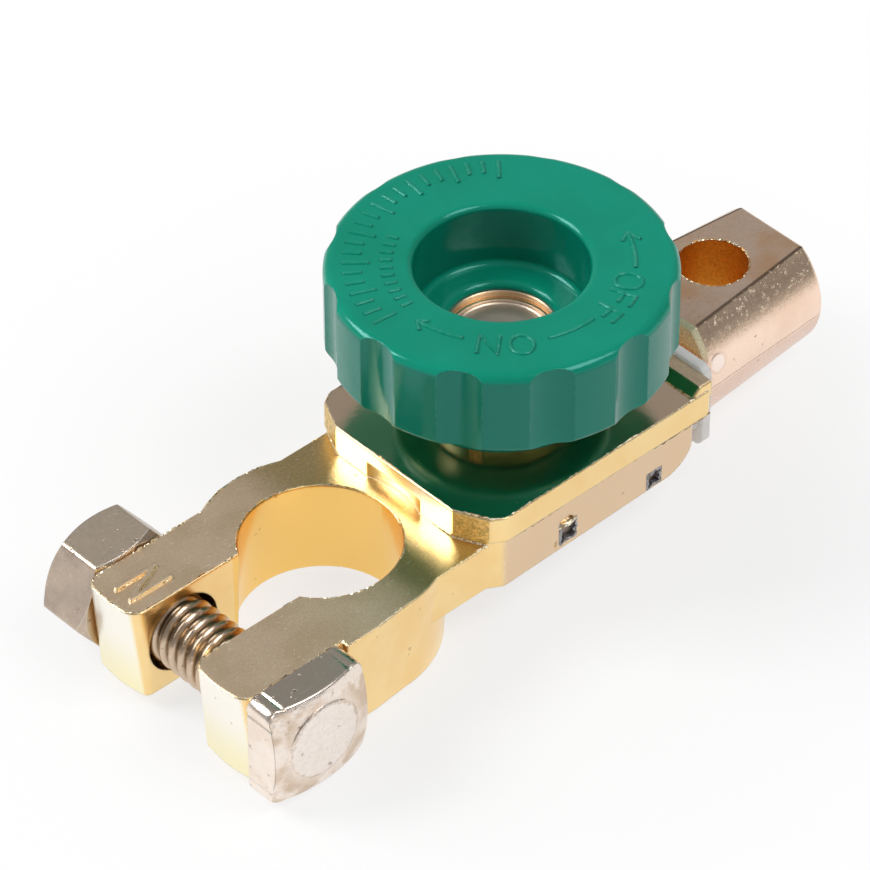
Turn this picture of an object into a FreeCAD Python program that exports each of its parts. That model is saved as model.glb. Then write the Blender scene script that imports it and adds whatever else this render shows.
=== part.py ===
import FreeCAD, Part
import math
import os

# Battery terminal clamp with a knob switch, in millimetres.
# +X runs from the jaw ears to the cable lug, +Y is the nut's side and +Z is up.
# The origin is the axis of the post bore at the clamp's underside.

V = FreeCAD.Vector

# Clamp ring and the tapered bore for the battery post
CLAMP_HEIGHT = 11.9
BORE_TOP_R = 8.5
BORE_FOOT_R = 9.0
RING_TOP_R = 13.3
RING_DRAFT = 0.6
EDGE_ROUND = 0.2

# Jaw ears on both sides of the slot
SLOT_NUT_SIDE_Y = 4.2
SLOT_HEAD_SIDE_Y = -4.7
EAR_NUT_SIDE_Y = 11.9
EAR_HEAD_SIDE_Y = -12.8
EAR_END_X = -22.1
EAR_END_BULGE = 0.5
EAR_END_R = 10.8
EAR_CORNER_R = 1.8
EAR_CORNER_FOOT_R = 0.9
EAR_END_DRAFT = 1.2

# Shoulder that keeps the square head from turning
SHOULDER_GAP = 0.3
SHOULDER_HEIGHT = 0.9
SHOULDER_BLEND_R = 8.9
SHOULDER_ROOT = 3.0

# Raised polarity mark on the nut-side ear
MARK_HEIGHT = 0.3
MARK_STROKE = 0.5
MARK_STROKE_END_R = 0.2
MARK_LENGTH = 5.6
MARK_WIDTH = 2.3
MARK_END_GAP = 1.8

# Cross bolt and nut
BOLT_R = 3.95
BOLT_X = -15.2
BOLT_LENGTH = 32.0
BOLT_TIP_CHAMFER = 0.7
BOLT_HOLE_CLEARANCE = 0.65
HEAD_ACROSS = 12.7
HEAD_THICKNESS = 4.7
HEAD_CORNER_R = 1.3
HEAD_DISC_R = 4.6
HEAD_CORNER_DROP = 1.7
NUT_ACROSS = 13.0
NUT_THICKNESS = 6.5
NUT_CHAMFER = 0.7
NUT_EDGE_R = 0.5
NUT_TURN_DEG = 7.0
THREAD_CLEARANCE = 0.05

# Arm from the ring to the housing
ARM_THICKNESS = 5.9
ARM_NUT_SIDE_Y = 12.2
ARM_HEAD_SIDE_Y = -12.4
ARM_SIDE_FILLET_R = 1.9

# Switch housing
HOUSING_START_X = 10.2
HOUSING_LENGTH = 33.0
PLATE_STEP = 3.7
LIP_HEIGHT = 3.2
LIP_HALF_WIDTH = 13.6
LIP_OVERHANG = 0.3
CORNER_START_FROM_SIDE = 4.7
CORNER_BEND_FROM_FRONT = 1.8
CORNER_BEND_FROM_SIDE = 0.9
CORNER_END_FROM_FRONT = 3.3
CORNER_EDGE_R = 0.4
CORNER_END_R = 1.5
HOUSING_END_CORNER_R = 0.8
WALL_SETBACK = 2.1
WALL_END_R = 4.5
UNDERSIDE_RISE = 0.8
PLATE_THICKNESS = 2.8
SIDE_WALL = 1.7
FRONT_WALL = 2.8
RIDGE_HEIGHT = 1.0
RIDGE_TOP_LENGTH = 1.6
RIDGE_RAMP = 1.2
RIDGE_EDGE_R = 0.35

# Staked notches that hold the cover
NOTCH_DEPTH = 0.7
NOTCH_REACH = 0.8
NOTCH_CENTRES_FROM_START = (12.35, 24.9)
NOTCH_WIDTHS = (2.5, 2.2)
NOTCH_HEIGHTS = (2.8, 2.1)
TAB_THICKNESS = 0.85

# Insulator sleeve and cover
ROOF_THICKNESS = 0.9
SLEEVE_WALL = 1.0
FLANGE_THICKNESS = 1.1
FLANGE_HALF_WIDTH = 12.3
FLANGE_RISE = 0.6
FLANGE_FOOT_RISE = 0.6
FLANGE_CORNER_R = 1.2
SLEEVE_HOLE_R = 7.5
COVER_THICKNESS = 1.0
PLASTIC_CLEARANCE = 0.1
PEG_R = 1.4
PEG_HEIGHT = 1.6
PEG_OFFSET_X = 9.0

# Cable lug
TONGUE_THICKNESS = 2.7
NECK_LENGTH = 3.0
NECK_HEIGHT = 9.2
NECK_RISE = 1.3
NECK_HALF_WIDTH = 8.4
BARREL_LENGTH = 18.7
BARREL_START_R = 9.1
BARREL_END_R = 7.9
BARREL_EDGE_R = 0.7
BARREL_FLAT_ABOVE_AXIS = 6.5
BARREL_FLAT_BELOW_AXIS = 8.1
BARREL_TOP_ABOVE_PLATE = 1.4
BARREL_RIM_BEVEL = 0.5
LUG_HOLE_R = 4.0
LUG_HOLE_FROM_BARREL_START = 9.4

# Contact screw
SCREW_R = 6.0
SCREW_FROM_HOUSING_START = 15.3
SCREW_HOLE_CLEARANCE = 0.1
SCREW_HEAD_R = 8.5
SCREW_HEAD_THICKNESS = 4.0
SCREW_TIP_CHAMFER = 0.6
COLLAR_R = 6.3
COLLAR_HEIGHT = 1.1
CUP_R = 5.6
BOSS_R = 7.5
BOSS_HEIGHT = 2.4

# Knob
KNOB_R = 18.4
KNOB_HEIGHT = 9.9
KNOB_RIM_R = 1.1
KNOB_FOOT_R = 0.5
FLUTE_COUNT = 12
FLUTE_DEPTH = 0.7
FLUTE_SHARE = 0.5
FLUTE_PHASE_DEG = 3.0
HUB_R = 11.5
HUB_HEIGHT = 6.5
HUB_FILLET_R = 0.8
HUB_GAP = 0.3
RECESS_TOP_R = 9.15
RECESS_FLOOR_R = 9.05
RECESS_DEPTH = 7.7
RECESS_LIP_R = 0.75
FLOOR_THICKNESS = 2.0
FLOOR_HOLE_R = 5.75
FLOOR_HOLE_LIP_R = 0.8
HEAD_CLEARANCE = 0.05

# Heights and places that follow from the sizes above
BOLT_Z = CLAMP_HEIGHT / 2
PLATE_Z = CLAMP_HEIGHT + PLATE_STEP
LIP_FOOT_Z = PLATE_Z - LIP_HEIGHT
UNDERSIDE_Z = CLAMP_HEIGHT - ARM_THICKNESS
ROOF_Z = PLATE_Z - PLATE_THICKNESS
TONGUE_TOP_Z = ROOF_Z - ROOF_THICKNESS
TONGUE_FOOT_Z = TONGUE_TOP_Z - TONGUE_THICKNESS
COVER_FOOT_Z = TONGUE_FOOT_Z - COVER_THICKNESS
HOUSING_END_X = HOUSING_START_X + HOUSING_LENGTH
WALL_END_X = HOUSING_END_X - WALL_SETBACK
WALL_HALF_WIDTH = LIP_HALF_WIDTH - LIP_OVERHANG
CAVITY_HALF_WIDTH = WALL_HALF_WIDTH - SIDE_WALL
CAVITY_START_X = HOUSING_START_X + FRONT_WALL
SCREW_X = HOUSING_START_X + SCREW_FROM_HOUSING_START
BOSS_TOP_Z = PLATE_Z + BOSS_HEIGHT
HUB_FOOT_Z = BOSS_TOP_Z + HUB_GAP
KNOB_FOOT_Z = HUB_FOOT_Z + HUB_HEIGHT
KNOB_TOP_Z = KNOB_FOOT_Z + KNOB_HEIGHT
RECESS_FLOOR_Z = KNOB_TOP_Z - RECESS_DEPTH
SCREW_HEAD_TOP_Z = RECESS_FLOOR_Z - FLOOR_THICKNESS
SCREW_HEAD_FOOT_Z = SCREW_HEAD_TOP_Z - SCREW_HEAD_THICKNESS
COLLAR_TOP_Z = SCREW_HEAD_TOP_Z + COLLAR_HEIGHT
FLANGE_END_X = HOUSING_END_X + FLANGE_THICKNESS
TONGUE_HALF_WIDTH = CAVITY_HALF_WIDTH - SLEEVE_WALL - PLASTIC_CLEARANCE
BARREL_START_X = FLANGE_END_X + NECK_LENGTH
BARREL_END_X = BARREL_START_X + BARREL_LENGTH
BARREL_AXIS_Z = PLATE_Z + BARREL_TOP_ABOVE_PLATE - BARREL_FLAT_ABOVE_AXIS
OVERLAP = 1.0
THROUGH = 2.0


def box(x0, x1, y0, y1, z0, z1):
    """Block between two corners."""
    return Part.makeBox(x1 - x0, y1 - y0, z1 - z0, V(x0, y0, z0))


def upright(radius, z0, z1, x, y=0.0):
    """Cylinder along Z."""
    return Part.makeCylinder(radius, z1 - z0, V(x, y, z0))


def across(radius, y0, y1, x, z):
    """Cylinder along Y."""
    return Part.makeCylinder(radius, y1 - y0, V(x, y0, z), V(0, 1, 0))


def rounded_wire(corners, place):
    """Closed wire through corners (u, v, radius), where place turns u and v into a point."""
    count = len(corners)
    stretches = []
    for index, (u, v, radius) in enumerate(corners):
        corner = V(u, v, 0)
        before = V(*corners[index - 1][:2], 0)
        after = V(*corners[(index + 1) % count][:2], 0)
        to_before = (before - corner).normalize()
        to_after = (after - corner).normalize()
        half = to_before.getAngle(to_after) / 2
        straight = abs(half - math.pi / 2) < 1e-6
        if radius <= 0 or straight:
            stretches.append((corner, None, corner))
            continue
        reach = radius / math.tan(half)
        bisector = (to_before + to_after).normalize()
        centre = corner + bisector * (radius / math.sin(half))
        start = corner + to_before * reach
        end = corner + to_after * reach
        stretches.append((start, centre - bisector * radius, end))
    edges = []
    for index, (start, middle, end) in enumerate(stretches):
        if middle is not None:
            points = [place(p.x, p.y) for p in (start, middle, end)]
            edges.append(Part.Arc(*points).toShape())
        following = stretches[(index + 1) % count][0]
        if end.distanceToPoint(following) > 1e-6:
            edges.append(Part.makeLine(place(end.x, end.y), place(following.x, following.y)))
    return Part.Wire(edges)


def prism(corners, z0, z1):
    """Upright prism on a rounded outline."""
    wire = rounded_wire(corners, lambda u, v: V(u, v, z0))
    return Part.Face(wire).extrude(V(0, 0, z1 - z0))


def drafted_prism(foot_corners, top_corners, z0, z1):
    """Upright solid whose outline changes evenly from foot to top."""
    foot = rounded_wire(foot_corners, lambda u, v: V(u, v, z0))
    top = rounded_wire(top_corners, lambda u, v: V(u, v, z1))
    return Part.makeLoft([foot, top], True, True)


def side_prism(corners, y0, y1):
    """Prism along Y on a rounded outline in X and Z."""
    wire = rounded_wire(corners, lambda u, v: V(u, y0, v))
    return Part.Face(wire).extrude(V(0, y1 - y0, 0))


def end_prism(corners, x0, x1):
    """Prism along X on a rounded outline in Y and Z."""
    wire = rounded_wire(corners, lambda u, v: V(x0, u, v))
    return Part.Face(wire).extrude(V(x1 - x0, 0, 0))


def turned(corners, x):
    """Solid turned about an upright axis at x, from a rounded profile of radius and height."""
    wire = rounded_wire(corners, lambda u, v: V(x + u, 0, v))
    return Part.Face(wire).revolve(V(x, 0, 0), V(0, 0, 1), 360)


def turned_on_bolt(corners):
    """Solid turned about the bolt's axis, from a rounded profile of radius and Y."""
    wire = rounded_wire(corners, lambda u, v: V(BOLT_X + u, v, BOLT_Z))
    return Part.Face(wire).revolve(V(BOLT_X, 0, BOLT_Z), V(0, 1, 0), 360)


def turned_on_lug(corners):
    """Solid turned about the lug's barrel axis, from a rounded profile of X and radius."""
    wire = rounded_wire(corners, lambda u, v: V(u, 0, BARREL_AXIS_Z + v))
    return Part.Face(wire).revolve(V(0, 0, BARREL_AXIS_Z), V(1, 0, 0), 360)


def lies_at(edge, axis, value):
    """Whether an edge lies in the plane where one coordinate has a value."""
    points = [edge.CenterOfMass] + [vertex.Point for vertex in edge.Vertexes]
    return all(abs(point[axis] - value) < 1e-4 for point in points)


def round_edges(solid, radius, wanted):
    """Fillet the edges that wanted picks."""
    return solid.makeFillet(radius, [edge for edge in solid.Edges if wanted(edge)])


def fuse(solids):
    """One solid from several that overlap."""
    first, *rest = solids
    return first.fuse(rest).removeSplitter()


def ring():
    """Split ring's disc, before the bore, with room for the jaws at the slot."""
    disc = Part.makeCone(RING_TOP_R - RING_DRAFT, RING_TOP_R, CLAMP_HEIGHT)
    disc = round_edges(disc, EDGE_ROUND, lambda edge: lies_at(edge, 2, CLAMP_HEIGHT))
    slot = box(
        -RING_TOP_R - THROUGH, 0,
        SLOT_HEAD_SIDE_Y - OVERLAP, SLOT_NUT_SIDE_Y + OVERLAP,
        -THROUGH, CLAMP_HEIGHT + THROUGH,
    )
    return disc.cut(slot)


def ear(inner_y, outer_y):
    """One jaw, from its drafted and gently convex end to the middle of the ring."""
    middle_y = (inner_y + outer_y) / 2
    root_x = -OVERLAP

    def outline(end_x, corner_r):
        return [
            (root_x, inner_y, 0),
            (end_x + EAR_END_BULGE, inner_y, corner_r),
            (end_x, middle_y, EAR_END_R),
            (end_x + EAR_END_BULGE, outer_y, corner_r),
            (root_x, outer_y, 0),
        ]

    foot = outline(EAR_END_X + EAR_END_DRAFT, EAR_CORNER_FOOT_R)
    top = outline(EAR_END_X, EAR_CORNER_R)
    jaw = drafted_prism(foot, top, 0, CLAMP_HEIGHT)

    def outer_edge(edge):
        return lies_at(edge, 2, CLAMP_HEIGHT) and not lies_at(edge, 0, root_x)

    return round_edges(jaw, EDGE_ROUND, outer_edge)


def head_shoulder():
    """Pad on the ring beside the square head."""
    start_x = BOLT_X + HEAD_ACROSS / 2 + SHOULDER_GAP
    outer_y = EAR_HEAD_SIDE_Y - SHOULDER_HEIGHT
    inner_y = EAR_HEAD_SIDE_Y + SHOULDER_ROOT

    def outline(draft):
        return [
            (start_x, inner_y, 0),
            (start_x, outer_y + draft, EDGE_ROUND),
            (start_x / 2, outer_y + draft, SHOULDER_BLEND_R),
            (0, -RING_TOP_R + draft, 0),
            (0, inner_y, 0),
        ]

    pad = drafted_prism(outline(RING_DRAFT), outline(0), 0, CLAMP_HEIGHT)

    def outer_edge(edge):
        outside = edge.CenterOfMass.y < inner_y - OVERLAP and not lies_at(edge, 0, 0)
        return outside and lies_at(edge, 2, CLAMP_HEIGHT)

    return round_edges(pad, EDGE_ROUND, outer_edge)


def arm():
    """Flat bar between the ring and the housing, blended into the housing's corners."""
    bend_x = HOUSING_START_X + CORNER_BEND_FROM_FRONT
    end_x = HOUSING_START_X + CORNER_END_FROM_FRONT
    bar = prism(
        [
            (0, ARM_HEAD_SIDE_Y, 0),
            (bend_x, ARM_HEAD_SIDE_Y, ARM_SIDE_FILLET_R),
            (end_x, -WALL_HALF_WIDTH, 0),
            (end_x, WALL_HALF_WIDTH, 0),
            (bend_x, ARM_NUT_SIDE_Y, ARM_SIDE_FILLET_R),
            (0, ARM_NUT_SIDE_Y, 0),
        ],
        UNDERSIDE_Z, CLAMP_HEIGHT,
    )

    def long_edge(edge):
        level = lies_at(edge, 2, UNDERSIDE_Z) or lies_at(edge, 2, CLAMP_HEIGHT)
        return level and (lies_at(edge, 1, ARM_HEAD_SIDE_Y) or lies_at(edge, 1, ARM_NUT_SIDE_Y))

    return round_edges(bar, EDGE_ROUND, long_edge)


def housing_corners(end_x, half_width):
    """Corners of the housing's outline, whose front corners are cut off in two flats."""
    bend_x = HOUSING_START_X + CORNER_BEND_FROM_FRONT
    side_x = HOUSING_START_X + CORNER_END_FROM_FRONT
    start_y = half_width - CORNER_START_FROM_SIDE
    bend_y = half_width - CORNER_BEND_FROM_SIDE
    return [
        (HOUSING_START_X, -start_y, CORNER_EDGE_R),
        (bend_x, -bend_y, CORNER_EDGE_R),
        (side_x, -half_width, CORNER_END_R),
        (end_x, -half_width, HOUSING_END_CORNER_R),
        (end_x, half_width, HOUSING_END_CORNER_R),
        (side_x, half_width, CORNER_END_R),
        (bend_x, bend_y, CORNER_EDGE_R),
        (HOUSING_START_X, start_y, CORNER_EDGE_R),
    ]


def lip():
    """Upper plate of the housing, which stands proud of the walls."""
    plate = prism(housing_corners(HOUSING_END_X, LIP_HALF_WIDTH), LIP_FOOT_Z, PLATE_Z)
    return round_edges(plate, EDGE_ROUND, lambda edge: lies_at(edge, 2, PLATE_Z))


def walls():
    """Housing below the lip, with its sloping underside and rounded lower end."""
    corners = housing_corners(WALL_END_X, WALL_HALF_WIDTH)
    block = prism(corners, UNDERSIDE_Z - OVERLAP, LIP_FOOT_Z + OVERLAP)
    profile = side_prism(
        [
            (HOUSING_START_X - OVERLAP, UNDERSIDE_Z, 0),
            (CAVITY_START_X, UNDERSIDE_Z, 0),
            (WALL_END_X, UNDERSIDE_Z + UNDERSIDE_RISE, WALL_END_R),
            (WALL_END_X, LIP_FOOT_Z + OVERLAP, 0),
            (HOUSING_START_X - OVERLAP, LIP_FOOT_Z + OVERLAP, 0),
        ],
        -LIP_HALF_WIDTH, LIP_HALF_WIDTH,
    )
    return block.common(profile)


def ridge():
    """Raised rib across the open end of the housing, with a ramp on its inner side."""
    top_z = PLATE_Z + RIDGE_HEIGHT
    top_x = HOUSING_END_X - RIDGE_TOP_LENGTH
    foot_x = top_x - RIDGE_RAMP
    half = LIP_HALF_WIDTH - EDGE_ROUND
    rib = side_prism(
        [
            (foot_x, PLATE_Z - OVERLAP, 0),
            (HOUSING_END_X, PLATE_Z - OVERLAP, 0),
            (HOUSING_END_X, top_z, 0),
            (top_x, top_z, 0),
            (foot_x, PLATE_Z, 0),
        ],
        -half, half,
    )

    def end_edge(edge):
        at_end = lies_at(edge, 1, -half) or lies_at(edge, 1, half)
        return at_end and edge.CenterOfMass.z > PLATE_Z and not lies_at(edge, 0, HOUSING_END_X)

    return round_edges(rib, RIDGE_EDGE_R, end_edge)


def notch_places():
    """Middle, width and height of each staked notch along the side."""
    for centre, width, height in zip(NOTCH_CENTRES_FROM_START, NOTCH_WIDTHS, NOTCH_HEIGHTS):
        yield HOUSING_START_X + centre, width, height


def notches():
    """Pockets punched into both sides of the housing."""
    pockets = []
    for centre_x, width, height in notch_places():
        for side in (-1, 1):
            y_edges = sorted((side * (WALL_HALF_WIDTH - NOTCH_DEPTH), side * (LIP_HALF_WIDTH + THROUGH)))
            z0 = UNDERSIDE_Z + NOTCH_REACH
            pockets.append(box(centre_x - width / 2, centre_x + width / 2, *y_edges, z0, z0 + height))
    return pockets


def tabs():
    """Metal pressed inwards by the punch, on which the cover lies."""
    pieces = []
    for centre_x, width, height in notch_places():
        for side in (-1, 1):
            y_edges = sorted((
                side * (CAVITY_HALF_WIDTH - NOTCH_DEPTH), side * (CAVITY_HALF_WIDTH + NOTCH_DEPTH)
            ))
            pieces.append(box(
                centre_x - width / 2, centre_x + width / 2, *y_edges,
                COVER_FOOT_Z - TAB_THICKNESS, COVER_FOOT_Z,
            ))
    return pieces


def boss():
    """Threaded boss on the plate, round the contact screw."""
    solid = upright(BOSS_R, PLATE_Z - OVERLAP, BOSS_TOP_Z, SCREW_X)
    return round_edges(solid, EDGE_ROUND, lambda edge: lies_at(edge, 2, BOSS_TOP_Z))


def post_bore():
    """Tapered hole for the battery post, with eased edges."""
    outer = BORE_FOOT_R + THROUGH
    return turned(
        [
            (0, -THROUGH, 0),
            (outer, -THROUGH, 0),
            (outer, 0, 0),
            (BORE_FOOT_R, 0, EDGE_ROUND),
            (BORE_TOP_R, CLAMP_HEIGHT, EDGE_ROUND),
            (outer, CLAMP_HEIGHT, 0),
            (outer, CLAMP_HEIGHT + THROUGH, 0),
            (0, CLAMP_HEIGHT + THROUGH, 0),
        ],
        0,
    )


def polarity_mark():
    """Raised letter for the negative post, lying along the nut-side ear."""
    start_x = EAR_END_X + MARK_END_GAP
    end_x = start_x + MARK_LENGTH
    middle_y = (SLOT_NUT_SIDE_Y + EAR_NUT_SIDE_Y) / 2 - MARK_STROKE
    low_y = middle_y - MARK_WIDTH / 2
    high_y = middle_y + MARK_WIDTH / 2
    z0 = CLAMP_HEIGHT - OVERLAP
    z1 = CLAMP_HEIGHT + MARK_HEIGHT
    half = MARK_STROKE / 2

    def bar(y):
        return prism(
            [
                (start_x, y - half, MARK_STROKE_END_R), (end_x, y - half, MARK_STROKE_END_R),
                (end_x, y + half, MARK_STROKE_END_R), (start_x, y + half, MARK_STROKE_END_R),
            ],
            z0, z1,
        )

    diagonal = prism(
        [
            (start_x + half, low_y - half, 0), (start_x + half, low_y + half, 0),
            (end_x - half, high_y + half, 0), (end_x - half, high_y - half, 0),
        ],
        z0, z1,
    )
    return [bar(low_y), bar(high_y), diagonal]


def clamp_body():
    """The casting: ring, jaws, arm and housing in one piece."""
    solid = fuse([
        ring(),
        ear(SLOT_NUT_SIDE_Y, EAR_NUT_SIDE_Y),
        ear(SLOT_HEAD_SIDE_Y, EAR_HEAD_SIDE_Y),
        head_shoulder(),
        arm(),
        walls(),
        lip(),
        ridge(),
        boss(),
    ])
    cavity = box(
        CAVITY_START_X, HOUSING_END_X + THROUGH, -CAVITY_HALF_WIDTH, CAVITY_HALF_WIDTH, 0, ROOF_Z
    )
    screw_hole = upright(SCREW_R + SCREW_HOLE_CLEARANCE, 0, BOSS_TOP_Z + THROUGH, SCREW_X)
    bolt_hole = across(
        BOLT_R + BOLT_HOLE_CLEARANCE, EAR_HEAD_SIDE_Y - THROUGH, EAR_NUT_SIDE_Y + THROUGH, BOLT_X, BOLT_Z
    )
    solid = solid.cut([post_bore(), cavity, screw_hole, bolt_hole] + notches())
    return fuse([solid] + tabs() + polarity_mark())


def insulator_sleeve():
    """Plastic channel over the tongue, with a flange across the housing's open end."""
    start_x = CAVITY_START_X
    half = CAVITY_HALF_WIDTH
    shell = box(start_x, FLANGE_END_X, -half, half, TONGUE_FOOT_Z, ROOF_Z)
    room = box(
        start_x + SLEEVE_WALL, FLANGE_END_X + THROUGH, -half + SLEEVE_WALL, half - SLEEVE_WALL,
        TONGUE_FOOT_Z - THROUGH, TONGUE_TOP_Z,
    )
    foot_z = UNDERSIDE_Z + FLANGE_FOOT_RISE
    top_z = PLATE_Z + RIDGE_HEIGHT + FLANGE_RISE
    flange = end_prism(
        [
            (-FLANGE_HALF_WIDTH, foot_z, FLANGE_CORNER_R),
            (FLANGE_HALF_WIDTH, foot_z, FLANGE_CORNER_R),
            (FLANGE_HALF_WIDTH, top_z, FLANGE_CORNER_R),
            (-FLANGE_HALF_WIDTH, top_z, FLANGE_CORNER_R),
        ],
        HOUSING_END_X, FLANGE_END_X,
    )
    slot = box(
        HOUSING_END_X - THROUGH, FLANGE_END_X + THROUGH, -half + SLEEVE_WALL, half - SLEEVE_WALL,
        TONGUE_FOOT_Z, TONGUE_TOP_Z,
    )
    hole = upright(SLEEVE_HOLE_R, TONGUE_FOOT_Z, ROOF_Z + THROUGH, SCREW_X)
    return fuse([shell.cut(room), flange.cut(slot)]).cut(hole)


def peg_places():
    """X of the cover's pegs, before and after the contact screw."""
    return (SCREW_X - PEG_OFFSET_X, SCREW_X + PEG_OFFSET_X)


def insulator_cover():
    """Plastic plate under the tongue, with two pegs that locate the lug."""
    half = CAVITY_HALF_WIDTH - PLASTIC_CLEARANCE
    plate = box(
        CAVITY_START_X + PLASTIC_CLEARANCE, WALL_END_X, -half, half, COVER_FOOT_Z, TONGUE_FOOT_Z
    )
    pegs = [upright(PEG_R, COVER_FOOT_Z, TONGUE_FOOT_Z + PEG_HEIGHT, x) for x in peg_places()]
    return fuse([plate] + pegs)


def lug_barrel():
    """Tapered barrel with a flat top, a narrow flat below and a bevelled front rim."""
    solid = turned_on_lug([
        (BARREL_START_X, 0, 0),
        (BARREL_END_X, 0, 0),
        (BARREL_END_X, BARREL_END_R, BARREL_EDGE_R),
        (BARREL_START_X + BARREL_RIM_BEVEL, BARREL_START_R, 0),
        (BARREL_START_X, BARREL_START_R - BARREL_RIM_BEVEL, 0),
    ])
    top_z = BARREL_AXIS_Z + BARREL_FLAT_ABOVE_AXIS
    foot_z = BARREL_AXIS_Z - BARREL_FLAT_BELOW_AXIS
    profile = side_prism(
        [
            (BARREL_START_X, foot_z, 0),
            (BARREL_END_X, foot_z, BARREL_EDGE_R),
            (BARREL_END_X, top_z, BARREL_EDGE_R),
            (BARREL_START_X + BARREL_RIM_BEVEL, top_z, 0),
            (BARREL_START_X, top_z - BARREL_RIM_BEVEL, 0),
        ],
        -BARREL_START_R - OVERLAP, BARREL_START_R + OVERLAP,
    )
    return solid.common(profile)


def lug_neck():
    """Blend from the flat tongue to the barrel."""
    foot_z = TONGUE_TOP_Z + NECK_RISE - NECK_HEIGHT

    def section(x, half, z0, z1):
        corners = [(-half, z0), (half, z0), (half, z1), (-half, z1), (-half, z0)]
        return Part.makePolygon([V(x, y, z) for y, z in corners])

    return Part.makeLoft(
        [
            section(FLANGE_END_X + PLASTIC_CLEARANCE, TONGUE_HALF_WIDTH, TONGUE_FOOT_Z, TONGUE_TOP_Z),
            section(BARREL_START_X, NECK_HALF_WIDTH, foot_z, TONGUE_TOP_Z + NECK_RISE),
        ],
        True, True,
    )


def cable_lug():
    """Tongue, neck and barrel in one piece, with the cross hole in the barrel."""
    tongue = box(
        CAVITY_START_X + SLEEVE_WALL + PLASTIC_CLEARANCE, FLANGE_END_X + 2 * PLASTIC_CLEARANCE,
        -TONGUE_HALF_WIDTH, TONGUE_HALF_WIDTH, TONGUE_FOOT_Z, TONGUE_TOP_Z,
    )
    cross_hole = upright(
        LUG_HOLE_R, BARREL_AXIS_Z - BARREL_START_R - THROUGH, PLATE_Z + BARREL_START_R,
        BARREL_START_X + LUG_HOLE_FROM_BARREL_START,
    )
    peg_hole_r = PEG_R + PLASTIC_CLEARANCE
    peg_hole_top = TONGUE_FOOT_Z + PEG_HEIGHT + PLASTIC_CLEARANCE
    peg_holes = [upright(peg_hole_r, TONGUE_FOOT_Z - THROUGH, peg_hole_top, x) for x in peg_places()]
    return fuse([tongue, lug_neck(), lug_barrel()]).cut([cross_hole] + peg_holes)


def contact_screw():
    """Brass screw with a cupped head held in the knob, whose end presses on the tongue."""
    foot_z = TONGUE_TOP_Z
    return turned(
        [
            (0, foot_z, 0),
            (SCREW_R - SCREW_TIP_CHAMFER, foot_z, 0),
            (SCREW_R, foot_z + SCREW_TIP_CHAMFER, 0),
            (SCREW_R, SCREW_HEAD_FOOT_Z, 0),
            (SCREW_HEAD_R, SCREW_HEAD_FOOT_Z, 0),
            (SCREW_HEAD_R, SCREW_HEAD_TOP_Z, 0),
            (COLLAR_R, SCREW_HEAD_TOP_Z, 0),
            (COLLAR_R, COLLAR_TOP_Z, 0),
            (CUP_R, COLLAR_TOP_Z, 0),
            (CUP_R, SCREW_HEAD_TOP_Z, 0),
            (0, SCREW_HEAD_TOP_Z, 0),
        ],
        SCREW_X,
    )


def fluted_blank():
    """Upright blank with shallow grip flutes, as high as the whole knob."""
    edges = []
    step = 2 * math.pi / FLUTE_COUNT
    half_flute = step * FLUTE_SHARE / 2

    def on_rim(radius, angle):
        return V(SCREW_X + radius * math.cos(angle), radius * math.sin(angle), HUB_FOOT_Z - OVERLAP)

    for index in range(FLUTE_COUNT):
        middle = math.radians(FLUTE_PHASE_DEG) + index * step
        start = middle - half_flute
        end = middle + half_flute
        next_start = start + step
        edges.append(Part.Arc(
            on_rim(KNOB_R, start), on_rim(KNOB_R - FLUTE_DEPTH, middle), on_rim(KNOB_R, end)
        ).toShape())
        edges.append(Part.Arc(
            on_rim(KNOB_R, end), on_rim(KNOB_R, (end + next_start) / 2), on_rim(KNOB_R, next_start)
        ).toShape())
    height = KNOB_TOP_Z - HUB_FOOT_Z + 2 * OVERLAP
    return Part.Face(Part.Wire(edges)).extrude(V(0, 0, height))


def knob():
    """Moulded knob, with a recess above and a hub below that holds the screw's head."""
    head_r = SCREW_HEAD_R + HEAD_CLEARANCE
    head_foot_z = SCREW_HEAD_FOOT_Z - HEAD_CLEARANCE
    head_top_z = SCREW_HEAD_TOP_Z + HEAD_CLEARANCE
    collar_r = COLLAR_R + HEAD_CLEARANCE
    collar_top_z = COLLAR_TOP_Z + HEAD_CLEARANCE
    shank_r = SCREW_R + HEAD_CLEARANCE
    form = turned(
        [
            (shank_r, HUB_FOOT_Z, 0),
            (HUB_R, HUB_FOOT_Z, HUB_FILLET_R),
            (HUB_R, KNOB_FOOT_Z, HUB_FILLET_R),
            (KNOB_R, KNOB_FOOT_Z, KNOB_FOOT_R),
            (KNOB_R, KNOB_TOP_Z, KNOB_RIM_R),
            (RECESS_TOP_R, KNOB_TOP_Z, RECESS_LIP_R),
            (RECESS_FLOOR_R, RECESS_FLOOR_Z, RECESS_LIP_R),
            (FLOOR_HOLE_R, RECESS_FLOOR_Z, FLOOR_HOLE_LIP_R),
            (FLOOR_HOLE_R, collar_top_z, 0),
            (collar_r, collar_top_z, 0),
            (collar_r, head_top_z, 0),
            (head_r, head_top_z, 0),
            (head_r, head_foot_z, 0),
            (shank_r, head_foot_z, 0),
        ],
        SCREW_X,
    )
    return form.common(fluted_blank())


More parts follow.
